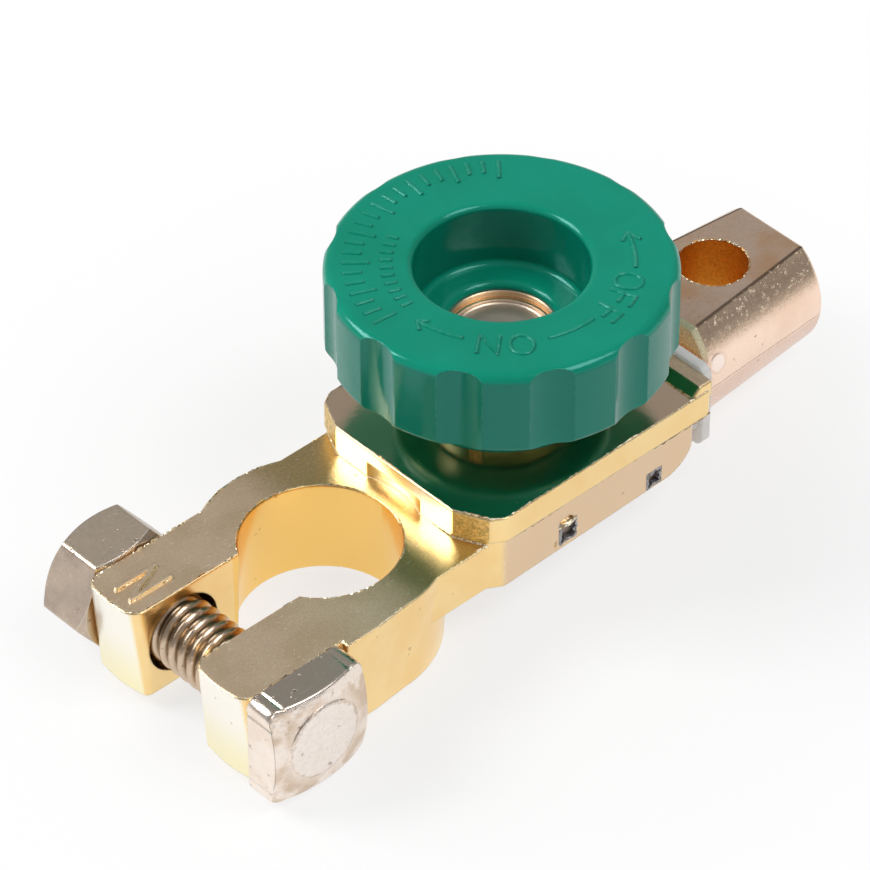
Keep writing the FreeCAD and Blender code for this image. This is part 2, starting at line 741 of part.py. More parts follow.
def clamp_bolt():
    """Square-head bolt through both jaws."""
    head_y = EAR_HEAD_SIDE_Y
    front_y = head_y - HEAD_THICKNESS
    tip_y = head_y + BOLT_LENGTH
    half = HEAD_ACROSS / 2
    corner_reach = half * math.sqrt(2)
    square = side_prism(
        [
            (BOLT_X - half, BOLT_Z - half, HEAD_CORNER_R),
            (BOLT_X + half, BOLT_Z - half, HEAD_CORNER_R),
            (BOLT_X + half, BOLT_Z + half, HEAD_CORNER_R),
            (BOLT_X - half, BOLT_Z + half, HEAD_CORNER_R),
        ],
        front_y, head_y,
    )
    dome = turned_on_bolt([
        (0, head_y, 0),
        (corner_reach, head_y, 0),
        (corner_reach, front_y + HEAD_CORNER_DROP, 0),
        (HEAD_DISC_R, front_y, 2 * HEAD_CORNER_R),
        (0, front_y, 0),
    ])
    shank = turned_on_bolt([
        (0, head_y - OVERLAP, 0),
        (BOLT_R, head_y - OVERLAP, 0),
        (BOLT_R, tip_y - BOLT_TIP_CHAMFER, 0),
        (BOLT_R - BOLT_TIP_CHAMFER, tip_y, 0),
        (0, tip_y, 0),
    ])
    return fuse([square.common(dome), shank])


def clamp_nut():
    """Hex nut, chamfered on both faces."""
    seat_y = EAR_NUT_SIDE_Y
    end_y = seat_y + NUT_THICKNESS
    corner_r = NUT_ACROSS / math.sqrt(3)
    corners = []
    for index in range(6):
        angle = math.radians(NUT_TURN_DEG + 60 * index)
        x = BOLT_X + corner_r * math.cos(angle)
        z = BOLT_Z + corner_r * math.sin(angle)
        corners.append((x, z, NUT_EDGE_R))
    hexagon = side_prism(corners, seat_y, end_y)
    face_r = NUT_ACROSS / 2
    blank = turned_on_bolt([
        (0, seat_y, 0),
        (face_r, seat_y, 0),
        (corner_r, seat_y + NUT_CHAMFER, 0),
        (corner_r, end_y - NUT_CHAMFER, 0),
        (face_r, end_y, 0),
        (0, end_y, 0),
    ])
    bore = across(BOLT_R + THREAD_CLEARANCE, seat_y - THROUGH, end_y + THROUGH, BOLT_X, BOLT_Z)
    return hexagon.common(blank).cut(bore)


PIECES = {
    "clamp_body": clamp_body,
    "insulator_sleeve": insulator_sleeve,
    "insulator_cover": insulator_cover,
    "cable_lug": cable_lug,
    "contact_screw": contact_screw,
    "knob": knob,
    "clamp_bolt": clamp_bolt,
    "clamp_nut": clamp_nut,
}

os.makedirs("parts", exist_ok=True)
for name, make in PIECES.items():
    shape = make()
    print(name, shape.ShapeType, len(shape.Solids), shape.isValid(), round(shape.Volume, 1))
    shape.exportStep("parts/" + name + ".step")
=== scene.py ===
import math

import bmesh
import bpy
from mathutils import Matrix, Vector, noise

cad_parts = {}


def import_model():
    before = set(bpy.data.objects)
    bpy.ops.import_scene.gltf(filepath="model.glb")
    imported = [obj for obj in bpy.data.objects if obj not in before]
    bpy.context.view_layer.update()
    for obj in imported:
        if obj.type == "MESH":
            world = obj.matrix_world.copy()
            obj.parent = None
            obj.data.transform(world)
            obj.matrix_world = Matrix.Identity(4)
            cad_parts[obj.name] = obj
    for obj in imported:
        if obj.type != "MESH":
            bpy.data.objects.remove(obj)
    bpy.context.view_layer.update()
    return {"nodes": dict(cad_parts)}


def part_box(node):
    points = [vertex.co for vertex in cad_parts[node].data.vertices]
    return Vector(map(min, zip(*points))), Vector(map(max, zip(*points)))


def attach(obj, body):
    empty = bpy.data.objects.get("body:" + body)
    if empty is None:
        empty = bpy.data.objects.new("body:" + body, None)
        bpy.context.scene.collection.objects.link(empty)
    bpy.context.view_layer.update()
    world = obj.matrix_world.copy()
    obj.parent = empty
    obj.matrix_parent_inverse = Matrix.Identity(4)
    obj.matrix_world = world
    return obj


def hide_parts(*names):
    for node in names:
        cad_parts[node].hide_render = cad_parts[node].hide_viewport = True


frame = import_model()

# Looks of the battery terminal clamp, in metres, in the part's own frame.
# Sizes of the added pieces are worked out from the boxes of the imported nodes
# and from the heights and places named here.

MM = 0.001

KNOB_LOW, KNOB_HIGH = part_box("knob")
SCREW_LOW, SCREW_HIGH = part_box("contact_screw")
BOLT_LOW, BOLT_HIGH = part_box("clamp_bolt")
KNOB_X = (KNOB_LOW.x + KNOB_HIGH.x) / 2
BOLT_X = (BOLT_LOW.x + BOLT_HIGH.x) / 2
BOLT_Z = (BOLT_LOW.z + BOLT_HIGH.z) / 2

# The casting, in millimetres; a zone is where a change of looks begins along the part
CLAMP_TOP = 11.9
PLATE_TOP = 15.6
BORE_FOOT_R = 9.0
STEP_ZONE_X = 9.0
WALL_ZONE_X = 13.0
EAR_ZONE_X = -19.0
LIP_FOOT = 12.4
LIP_HALF = 13.6
LIP_START = 14.2
LIP_END = 43.0
WALL_FOOT = 5.0
WALL_HALF = 13.3
NOTCH_ZONE_X = 20.0
NOTCH_FOOT = 6.8
NOTCH_PLACES = (22.55, 35.1)
NOTCH_WIDTHS = (2.5, 2.2)
NOTCH_HEIGHTS = (2.8, 2.1)
NOTCH_DEPTH = 0.7

# The cable lug's barrel, in millimetres
BARREL_START = 47.3
BARREL_END = 66.0
BARREL_START_R = 9.1
BARREL_END_R = 7.9
BARREL_AXIS = 10.5
BARREL_TOP = 17.0
LUG_HOLE_X = 56.7
LUG_HOLE_R = 4.0
SEAM_START_Z = 10.15
SEAM_SLOPE = -0.031
PUNCH_PLACE = (49.0, -8.7, 12.75)
PUNCH_R = 1.25

# The cross bolt, in millimetres
HEAD_FRONT_Y = BOLT_LOW.y / MM
HEAD_THICKNESS = 4.7
HEAD_CORNER_R = 1.3
CROWN_DROP = 1.7
DISC_R = 4.6
BOLT_ROOT_R = 3.20
BOLT_CREST_R = 3.95
BOLT_PITCH = 25.4 / 18

# The contact screw, in millimetres
SCREW_HEAD_THICKNESS = 4.0
COLLAR_HEIGHT = 1.1
SCREW_ROOT_R = 5.15
SCREW_CREST_R = 5.98
SCREW_PITCH = 1.75

# The raised marks on the knob, in millimetres
MARK_WIDTH = 0.48
MARK_SINK = 0.05
LETTER_R = 13.3
LETTER_HALF_WIDTH = 1.05
LETTER_HALF_HEIGHT = 1.45

# A thread's ridge, as shares of its height and of its pitch
THREAD_SECTION = (
    (0.0, -0.48), (0.50, -0.31), (0.90, -0.15), (1.0, 0.0), (0.90, 0.15), (0.50, 0.31), (0.0, 0.48),
)
THREAD_SINK = 0.12 * MM


# Helpers for meshes

def mesh_object(name, bm, material, smooth_angle=None):
    """Object from a bmesh, with its material, shaded smooth below an angle."""
    bmesh.ops.recalc_face_normals(bm, faces=bm.faces)
    mesh = bpy.data.meshes.new(name)
    bm.to_mesh(mesh)
    bm.free()
    obj = bpy.data.objects.new(name, mesh)
    bpy.context.scene.collection.objects.link(obj)
    mesh.materials.append(material)
    if smooth_angle is not None:
        mesh.shade_smooth()
        mesh.set_sharp_from_angle(angle=math.radians(smooth_angle))
    return obj


def axes_for(direction):
    """Two unit vectors square to a direction and to each other, right-handed with it."""
    direction = direction.normalized()
    first = direction.orthogonal().normalized()
    second = direction.cross(first)
    return first, second


def add_rings(bm, rings, closed_start, closed_end, looped=False):
    """Faces between rings of points, with the ends filled or joined to each other if asked."""
    made = []
    for ring in rings:
        made.append([bm.verts.new(point) for point in ring])
    pairs = list(zip(made, made[1:]))
    if looped:
        pairs.append((made[-1], made[0]))
    for one, other in pairs:
        count = len(one)
        for index in range(count):
            following = (index + 1) % count
            bm.faces.new((one[index], one[following], other[following], other[index]))
    if closed_start:
        bm.faces.new(made[0])
    if closed_end:
        bm.faces.new(made[-1])


def add_lathe(bm, centre, direction, profile, segments=96):
    """Closed solid of revolution; profile is radius and distance along the direction."""
    first, second = axes_for(direction)
    along = direction.normalized()
    rings = []
    for radius, distance in profile:
        ring = []
        for index in range(segments):
            angle = 2 * math.pi * index / segments
            spoke = first * math.cos(angle) + second * math.sin(angle)
            ring.append(centre + along * distance + spoke * radius)
        rings.append(ring)
    add_rings(bm, rings, True, True)


def add_thread(bm, centre, direction, root, crest, pitch, start, end, per_turn=72):
    """Closed helical ridge with rounded crests, whose ends sink into the core."""
    first, second = axes_for(direction)
    along = direction.normalized()
    steps = int((end - start) / pitch * per_turn)
    fade = per_turn / 2
    inner = root - THREAD_SINK
    rings = []
    for step in range(steps + 1):
        angle = 2 * math.pi * step / per_turn
        spoke = first * math.cos(angle) + second * math.sin(angle)
        middle = start + pitch * step / per_turn
        rise = min(1.0, step / fade, (steps - step) / fade)
        high = (crest - inner) * rise
        ring = []
        for share, part in THREAD_SECTION:
            ring.append(centre + along * (middle + pitch * part) + spoke * (inner + high * share))
        rings.append(ring)
    add_rings(bm, rings, True, True)


# Helpers for materials

def material_tree(name):
    """New node material with its tree and its shader."""
    material = bpy.data.materials.new(name)
    material.use_nodes = True
    tree = material.node_tree
    return material, tree, tree.nodes["Principled BSDF"]


def add(tree, kind, settings=None, **sockets):
    """New node with its settings, its values and its links; i0, i1 and so on are sockets by number."""
    made = tree.nodes.new(kind)
    for key, value in (settings or {}).items():
        setattr(made, key, value)
    for key, value in sockets.items():
        numbered = key[0] == "i" and key[1:].isdigit()
        socket = made.inputs[int(key[1:])] if numbered else made.inputs[key.replace("_", " ")]
        if isinstance(value, bpy.types.NodeSocket):
            tree.links.new(value, socket)
        else:
            socket.default_value = value
    return made


def math_node(tree, operation, first, second=0.0):
    """Result of one operation on one or two values."""
    return add(tree, "ShaderNodeMath", {"operation": operation}, i0=first, i1=second).outputs[0]


def combined(tree, operation, values):
    """Result of one operation on any number of values, from the first to the last."""
    result = values[0]
    for value in values[1:]:
        result = math_node(tree, operation, result, value)
    return result


def multiply(tree, *values):
    """Product of any number of values."""
    return combined(tree, "MULTIPLY", values)


def total(tree, *values):
    """Sum of any number of values."""
    return combined(tree, "ADD", values)


def ramp(tree, value, low, high):
    """Rises smoothly from 0 to 1 as value goes from low to high."""
    made = add(tree, "ShaderNodeMapRange", {"interpolation_type": "SMOOTHSTEP"}, Value=value)
    made.inputs["From Min"].default_value = low
    made.inputs["From Max"].default_value = high
    return made.outputs["Result"]


def between(tree, value, low, high, soft):
    """1 where a value lies between two limits."""
    above = ramp(tree, value, low - soft, low + soft)
    below = ramp(tree, value, high + soft, high - soft)
    return multiply(tree, above, below)


def mix_colour(tree, factor, first, second):
    """First colour where the factor is 0 and second where it is 1."""
    return add(tree, "ShaderNodeMix", {"data_type": "RGBA"}, i0=factor, i6=first, i7=second).outputs[2]


def mix_value(tree, factor, first, second):
    """First value where the factor is 0 and second where it is 1."""
    return add(tree, "ShaderNodeMix", {"data_type": "FLOAT"}, i0=factor, i2=first, i3=second).outputs[0]


def colour(red, green, blue):
    """Opaque linear colour."""
    return (red, green, blue, 1.0)


def place_in_mm(tree):
    """Place on the object in millimetres."""
    coords = add(tree, "ShaderNodeTexCoord").outputs["Object"]
    return add(tree, "ShaderNodeVectorMath", {"operation": "SCALE"}, Vector=coords, Scale=1 / MM).outputs[0]


def surface(tree):
    """Place in millimetres with its parts, and the parts of the direction that the surface faces."""
    place = place_in_mm(tree)
    at = add(tree, "ShaderNodeSeparateXYZ", None, Vector=place).outputs
    normal = add(tree, "ShaderNodeTexCoord").outputs["Normal"]
    facing = add(tree, "ShaderNodeSeparateXYZ", None, Vector=normal).outputs
    return place, at, facing


def noise_value(tree, place, scale, detail=4.0, roughness=0.55):
    """Noise from 0 to 1; scale is in cells a millimetre."""
    values = {"Scale": scale, "Detail": detail, "Roughness": roughness}
    return add(tree, "ShaderNodeTexNoise", None, Vector=place, **values).outputs["Fac"]


def stretched(tree, place, x, y, z):
    """Place with its parts multiplied."""
    return add(tree, "ShaderNodeVectorMath", {"operation": "MULTIPLY"}, i0=place, i1=(x, y, z)).outputs[0]


def distance_from(tree, place, centre, x, y, z):
    """Distance from a line or point; x, y and z are 0 for the direction that doesn't count."""
    offset = add(tree, "ShaderNodeVectorMath", {"operation": "SUBTRACT"}, i0=place, i1=centre)
    flat = stretched(tree, offset.outputs[0], x, y, z)
    return add(tree, "ShaderNodeVectorMath", {"operation": "LENGTH"}, i0=flat).outputs["Value"]


def edge_mask(tree, radius, samples=4):
    """1 near the object's edges, from a rounded copy of the normal, and that copy."""
    rounded = add(tree, "ShaderNodeBevel", {"samples": samples}, Radius=radius * MM).outputs[0]
    flat = add(tree, "ShaderNodeNewGeometry").outputs["True Normal"]
    match = add(tree, "ShaderNodeVectorMath", {"operation": "DOT_PRODUCT"}, i0=rounded, i1=flat)
    return ramp(tree, match.outputs["Value"], 0.995, 0.90), rounded


def bumped(tree, shader, height, normal=None, strength=1.0):
    """Bump from a height in millimetres, over a given normal."""
    made = add(tree, "ShaderNodeBump", None, Strength=strength, Distance=MM, Height=height)
    if normal is not None:
        tree.links.new(normal, made.inputs["Normal"])
    tree.links.new(made.outputs[0], shader.inputs["Normal"])


def finish(tree, shader, base, rough, metallic=1.0):
    """Links a colour and a roughness to the shader."""
    tree.links.new(base, shader.inputs["Base Color"])
    tree.links.new(rough, shader.inputs["Roughness"])
    shader.inputs["Metallic"].default_value = metallic


def layered(tree, base, layers):
    """Colours laid over a base, each with its own mask."""
    for mask, tint in layers:
        base = mix_colour(tree, mask, base, tint)
    return base


# Materials

def casting_material():
    """Gold passivated zinc casting: satin tops, a mirror plate, brighter sides and worn edges, with painted
    glare on the ear ends and the step wall, and painted reflection in the bore and on the arm's top by the
    step.
    """
    material, tree, shader = material_tree("gold_casting")
    place, at, facing = surface(tree)
    up = ramp(tree, facing["Z"], 0.80, 0.97)
    down = ramp(tree, facing["Z"], -0.80, -0.97)
    cloud = noise_value(tree, place, 0.16, 3.0)
    grain = noise_value(tree, place, 3.2, 5.0, 0.7)
    speck_place = stretched(tree, place, 1.6, 4.0, 4.0)
    specks = ramp(tree, noise_value(tree, speck_place, 0.8, 2.0, 0.6), 0.64, 0.70)
    dents = ramp(tree, noise_value(tree, place, 0.9, 2.0, 0.5), 0.73, 0.78)
    edges, rounded = edge_mask(tree, 0.30)
    tear = noise_value(tree, place, 2.6, 4.0, 0.75)
    chips = multiply(tree, edges, ramp(tree, tear, 0.40, 0.54))
    crumbs = multiply(tree, edges, ramp(tree, tear, 0.44, 0.36), up)
    patches = ramp(tree, cloud, 0.35, 0.65)
    mottle = ramp(tree, grain, 0.42, 0.62)

    from_axis = distance_from(tree, place, (0.0, 0.0, 0.0), 1.0, 1.0, 0.0)
    bore_painted_reflection = ramp(tree, from_axis, BORE_FOOT_R + 0.4, BORE_FOOT_R + 0.2)
    near_step = between(tree, at["X"], 2.0, 15.0, 3.0)
    plate = multiply(tree, up, between(tree, at["Z"], PLATE_TOP - 0.3, PLATE_TOP + 0.3, 0.1))
    lower = between(tree, at["Z"], WALL_FOOT, LIP_FOOT, 0.05)
    wall = multiply(tree, lower, ramp(tree, at["X"], WALL_ZONE_X, WALL_ZONE_X + 1.0))
    in_ear = ramp(tree, at["X"], EAR_ZONE_X, EAR_ZONE_X - 1.5)
    # Painted glare: the ear ends are painted nearly white for the bright table that they reflect.
    ear_end_glare = multiply(tree, ramp(tree, facing["X"], -0.72, -0.95), in_ear)
    ear_top_glare = multiply(tree, ear_end_glare, ramp(tree, at["Z"], 0.0, 9.0))
    past_step = ramp(tree, at["X"], STEP_ZONE_X, STEP_ZONE_X + 0.8)
    facet = multiply(tree, between(tree, facing["X"], -0.93, -0.86, 0.02), past_step,
                     ramp(tree, at["Z"], CLAMP_TOP, CLAMP_TOP + 0.3))
    # Painted glare: the step wall is painted pale for the lamp that it reflects off the arm's top.
    step_wall_glare = multiply(tree, ramp(tree, facing["X"], -0.94, -0.98), past_step,
                         ramp(tree, at["Z"], CLAMP_TOP, CLAMP_TOP + 0.2))
    off_middle = math_node(tree, "ABSOLUTE", at["Y"])
    in_notch = multiply(tree, between(tree, off_middle, WALL_HALF - NOTCH_DEPTH, WALL_HALF - 0.1, 0.04),
                        between(tree, at["Z"], NOTCH_FOOT - 0.1, NOTCH_FOOT + 3.0, 0.05),
                        ramp(tree, at["X"], NOTCH_ZONE_X, NOTCH_ZONE_X + 1.0))

    sides = mix_colour(tree, patches, colour(1.0, 0.74, 0.36), colour(0.98, 0.68, 0.30))
    # Painted reflection: the bore's walls are painted a deeper gold for the light that bounces between
    # them.
    sides = mix_colour(tree, bore_painted_reflection, sides, colour(1.0, 0.65, 0.20))
    tops = mix_colour(tree, patches, colour(1.0, 0.79, 0.57), colour(0.90, 0.69, 0.47))
    tops = layered(tree, tops, (
        # Painted reflection: the arm's top by the step is painted a deeper gold for the step wall that it
        # reflects.
        (multiply(tree, near_step, 0.9), colour(0.76, 0.57, 0.24)),
        (multiply(tree, mottle, mix_value(tree, near_step, 0.22, 0.45)), colour(0.50, 0.38, 0.24)),
        (plate, colour(1.0, 0.76, 0.54)),
    ))
    base = layered(tree, mix_colour(tree, up, sides, tops), (
        (multiply(tree, wall, 0.85), colour(0.78, 0.58, 0.41)),
        # Painted glare on the ear ends, paler still towards their tops.
        (ear_end_glare, colour(1.0, 0.92, 0.60)),
        (multiply(tree, ear_top_glare, 0.9), colour(1.0, 0.97, 0.90)),
        # Painted glare on the step wall.
        (step_wall_glare, colour(1.0, 0.92, 0.74)),
        (multiply(tree, facet, 0.85), colour(0.95, 0.68, 0.26)),
        (multiply(tree, facet, ramp(tree, tear, 0.40, 0.62), 0.8), colour(0.42, 0.28, 0.08)),
        (multiply(tree, specks, up, mix_value(tree, plate, 0.75, 0.10)), colour(1.0, 0.90, 0.70)),
        (multiply(tree, dents, 0.35), colour(0.22, 0.16, 0.09)),
        (multiply(tree, crumbs, 0.7), colour(0.20, 0.14, 0.07)),
        (multiply(tree, chips, 0.9), colour(1.0, 0.90, 0.66)),
        (in_notch, colour(0.33, 0.34, 0.39)),
    ))

    side_rough = mix_value(tree, grain, 0.17, 0.26)
    top_rough = mix_value(tree, grain, 0.40, 0.54)
    rough = mix_value(tree, up, side_rough, mix_value(tree, near_step, top_rough, 0.30))
    rough = mix_value(tree, plate, rough, mix_value(tree, grain, 0.08, 0.20))
    rough = mix_value(tree, facet, rough, 0.42)
    rough = mix_value(tree, in_notch, rough, 0.75)

    brushed = noise_value(tree, stretched(tree, place, 3.0, 0.25, 1.0), 1.4, 3.0, 0.6)
    ridge = multiply(tree, up, ramp(tree, at["Z"], PLATE_TOP + 0.3, PLATE_TOP + 0.8))
    top_height = mix_value(tree, near_step, 0.016, 0.034)
    fine_height = mix_value(tree, facet, mix_value(tree, up, 0.006, top_height), 0.08)
    fine_height = mix_value(tree, plate, fine_height, 0.004)
    height = total(
        tree,
        multiply(tree, grain, fine_height),
        multiply(tree, cloud, mix_value(tree, down, 0.05, 0.0)),
        multiply(tree, specks, up, mix_value(tree, plate, 0.012, 0.001)),
        multiply(tree, brushed, ridge, 0.12),
        multiply(tree, edges, tear, 0.10),
        multiply(tree, dents, -0.02),
        multiply(tree, in_notch, grain, 0.3),
    )
    finish(tree, shader, base, rough)
    tree.links.new(mix_value(tree, in_notch, 1.0, 0.2), shader.inputs["Metallic"])
    bumped(tree, shader, height, rounded)
    return material


def burr_material(name, flakes, crumbs, crumbs_from):
    """Torn plating: flakes with crumbs of another colour between them."""
    material, tree, shader = material_tree(name)
    place = place_in_mm(tree)
    torn = ramp(tree, noise_value(tree, place, 2.0, 3.0, 0.7), crumbs_from, crumbs_from + 0.1)
    grain = noise_value(tree, place, 5.0, 3.0)
    base = mix_colour(tree, torn, flakes, crumbs)
    finish(tree, shader, base, mix_value(tree, grain, 0.18, 0.40))
    bumped(tree, shader, multiply(tree, grain, 0.03))
    return material


def zinc_material():
    """Bare grey zinc where the punch tore the plating."""
    material, tree, shader = material_tree("bare_zinc")
    place = place_in_mm(tree)
    grain = noise_value(tree, place, 3.5, 4.0, 0.7)
    dark = colour(0.24, 0.24, 0.26)
    pale = colour(0.52, 0.50, 0.50)
    base = mix_colour(tree, ramp(tree, grain, 0.4, 0.6), dark, pale)
    finish(tree, shader, base, mix_value(tree, grain, 0.35, 0.6))
    bumped(tree, shader, multiply(tree, grain, 0.06))
    return material


def barrel_crease(tree, at, on_barrel):
    """Painted shade, as a dark line where the barrel's flat top meets its round side."""
    taper = (BARREL_END_R - BARREL_START_R) / (BARREL_END - BARREL_START)
    radius = total(tree, multiply(tree, at["X"], taper), BARREL_START_R - taper * BARREL_START)
    rise = BARREL_TOP - BARREL_AXIS
    squared = math_node(tree, "SUBTRACT", multiply(tree, radius, radius), rise * rise)
    half_flat = math_node(tree, "SQRT", squared)
    off_crease = math_node(tree, "SUBTRACT", math_node(tree, "ABSOLUTE", at["Y"]), half_flat)
    near_top = ramp(tree, at["Z"], BARREL_TOP - 0.4, BARREL_TOP - 0.2)
    return multiply(tree, between(tree, off_crease, -0.16, 0.16, 0.1), on_barrel, near_top)


def height_over_seam(tree, place, at):
    """Height over the wavering seam on the barrel's near side."""
    seam_z = total(tree, multiply(tree, at["X"], SEAM_SLOPE), SEAM_START_Z - SEAM_SLOPE * BARREL_START)
    over_line = math_node(tree, "SUBTRACT", at["Z"], seam_z)
    waver = multiply(tree, noise_value(tree, place, 0.8, 3.0), 0.4)
    return total(tree, over_line, math_node(tree, "SUBTRACT", waver, 0.2))


def lug_material():
    """Pinkish bronze plating over a turned barrel, speckled on its shoulders, with painted shade on the
    shoulders, along the crease and below the seam, and a painted reflection and highlight at the barrel's
    front.
    """
    material, tree, shader = material_tree("bronze_plating")
    place, at, facing = surface(tree)
    up = ramp(tree, facing["Z"], 0.90, 0.98)
    cloud = noise_value(tree, place, 0.14, 3.0)
    grain = noise_value(tree, place, 2.6, 5.0, 0.7)
    flecks = ramp(tree, noise_value(tree, place, 1.3, 3.0, 0.75), 0.58, 0.66)
    dents = ramp(tree, noise_value(tree, place, 1.0, 2.0, 0.5), 0.70, 0.75)
    edges, rounded = edge_mask(tree, 0.25)
    stain = ramp(tree, cloud, 0.45, 0.70)
    patches = ramp(tree, cloud, 0.35, 0.65)
    mottle = ramp(tree, grain, 0.40, 0.62)

    neck = ramp(tree, at["X"], BARREL_START + 0.05, BARREL_START - 0.05)
    on_barrel = ramp(tree, at["X"], BARREL_START + 0.4, BARREL_START + 0.8)
    past_neck = ramp(tree, at["X"], BARREL_START - 0.3, BARREL_START + 0.7)
    shoulder = multiply(tree, between(tree, facing["Z"], 0.42, 0.93, 0.10), past_neck)
    crease_shade = barrel_crease(tree, at, on_barrel)
    from_hole = distance_from(tree, place, (LUG_HOLE_X, 0.0, 0.0), 1.0, 1.0, 0.0)
    hole = ramp(tree, from_hole, LUG_HOLE_R + 0.12, LUG_HOLE_R + 0.04)
    # Painted highlight: the bevel at the front of the flat top is painted pale.
    rim = multiply(tree, ramp(tree, facing["X"], -0.45, -0.6),
                   ramp(tree, at["X"], BARREL_START - 0.1, BARREL_START),
                   ramp(tree, at["X"], BARREL_START + 0.7, BARREL_START + 0.55),
                   ramp(tree, at["Z"], BARREL_TOP - 3.6, BARREL_TOP - 2.6))
    near_side = ramp(tree, at["Y"], -6.5, -7.0)
    over_seam = height_over_seam(tree, place, at)
    seam = multiply(tree, between(tree, over_seam, -0.04, 0.04, 0.05), near_side, on_barrel)
    shade_below_seam = multiply(tree, ramp(tree, over_seam, 0.0, -0.4), near_side, on_barrel)
    from_punch = distance_from(tree, place, PUNCH_PLACE, 1.0, 1.0, 1.0)
    punch_ring = between(tree, from_punch, PUNCH_R - 0.20, PUNCH_R + 0.10, 0.20)
    punch_face = ramp(tree, from_punch, PUNCH_R, PUNCH_R - 0.5)

    base = mix_colour(tree, patches, colour(1.0, 0.77, 0.62), colour(0.92, 0.67, 0.52))
    tops = mix_colour(tree, patches, colour(1.0, 0.78, 0.62), colour(0.94, 0.64, 0.44))
    tops = mix_colour(tree, multiply(tree, mottle, 0.25), tops, colour(0.62, 0.43, 0.30))
    base = layered(tree, base, (
        (up, tops),
        # Painted shade: the sloping shoulders are painted darker brown for the dark surroundings they
        # reflect; the flecks are the plating's own.
        (multiply(tree, shoulder, 0.75), colour(0.74, 0.55, 0.39)),
        (multiply(tree, shoulder, mottle, 0.35), colour(0.40, 0.28, 0.19)),
        (multiply(tree, shoulder, flecks, 0.6), colour(0.98, 0.84, 0.64)),
        (multiply(tree, stain, up, 0.65), colour(0.86, 0.52, 0.28)),
        # Painted shade on the lower side of the barrel, below the seam.
        (multiply(tree, shade_below_seam, 0.45), colour(0.66, 0.46, 0.38)),
        (multiply(tree, dents, 0.45), colour(0.24, 0.13, 0.09)),
        (multiply(tree, edges, ramp(tree, grain, 0.45, 0.6), 0.5), colour(0.98, 0.82, 0.60)),
        (multiply(tree, crease_shade, 0.85), colour(0.14, 0.09, 0.06)),
        (multiply(tree, seam, 0.75), colour(0.32, 0.18, 0.13)),
        (multiply(tree, punch_face, 0.7), colour(1.0, 0.88, 0.82)),
        (multiply(tree, punch_ring, 0.22), colour(0.60, 0.40, 0.32)),
        # Painted reflection: the front wall of the barrel's raised top is painted orange gold.
        (neck, colour(1.0, 0.62, 0.24)),
        # Painted highlight on the bevel at the front of the flat top.
        (rim, colour(1.0, 0.90, 0.62)),
        (hole, mix_colour(tree, mottle, colour(0.88, 0.46, 0.07), colour(0.72, 0.35, 0.045))),
    ))
    rough = mix_value(tree, grain, 0.20, 0.34)
    rough = mix_value(tree, up, rough, mix_value(tree, grain, 0.38, 0.52))
    rough = mix_value(tree, hole, rough, 0.45)
    height = total(
        tree,
        multiply(tree, grain, 0.024),
        multiply(tree, cloud, 0.12),
        multiply(tree, shoulder, flecks, 0.02),
        multiply(tree, dents, -0.03),
        multiply(tree, seam, -0.04),
        multiply(tree, punch_ring, -0.05),
    )
    finish(tree, shader, base, rough)
    tree.links.new(mix_value(tree, rim, 1.0, 0.4), shader.inputs["Metallic"])
    bumped(tree, shader, height, rounded)
    return material


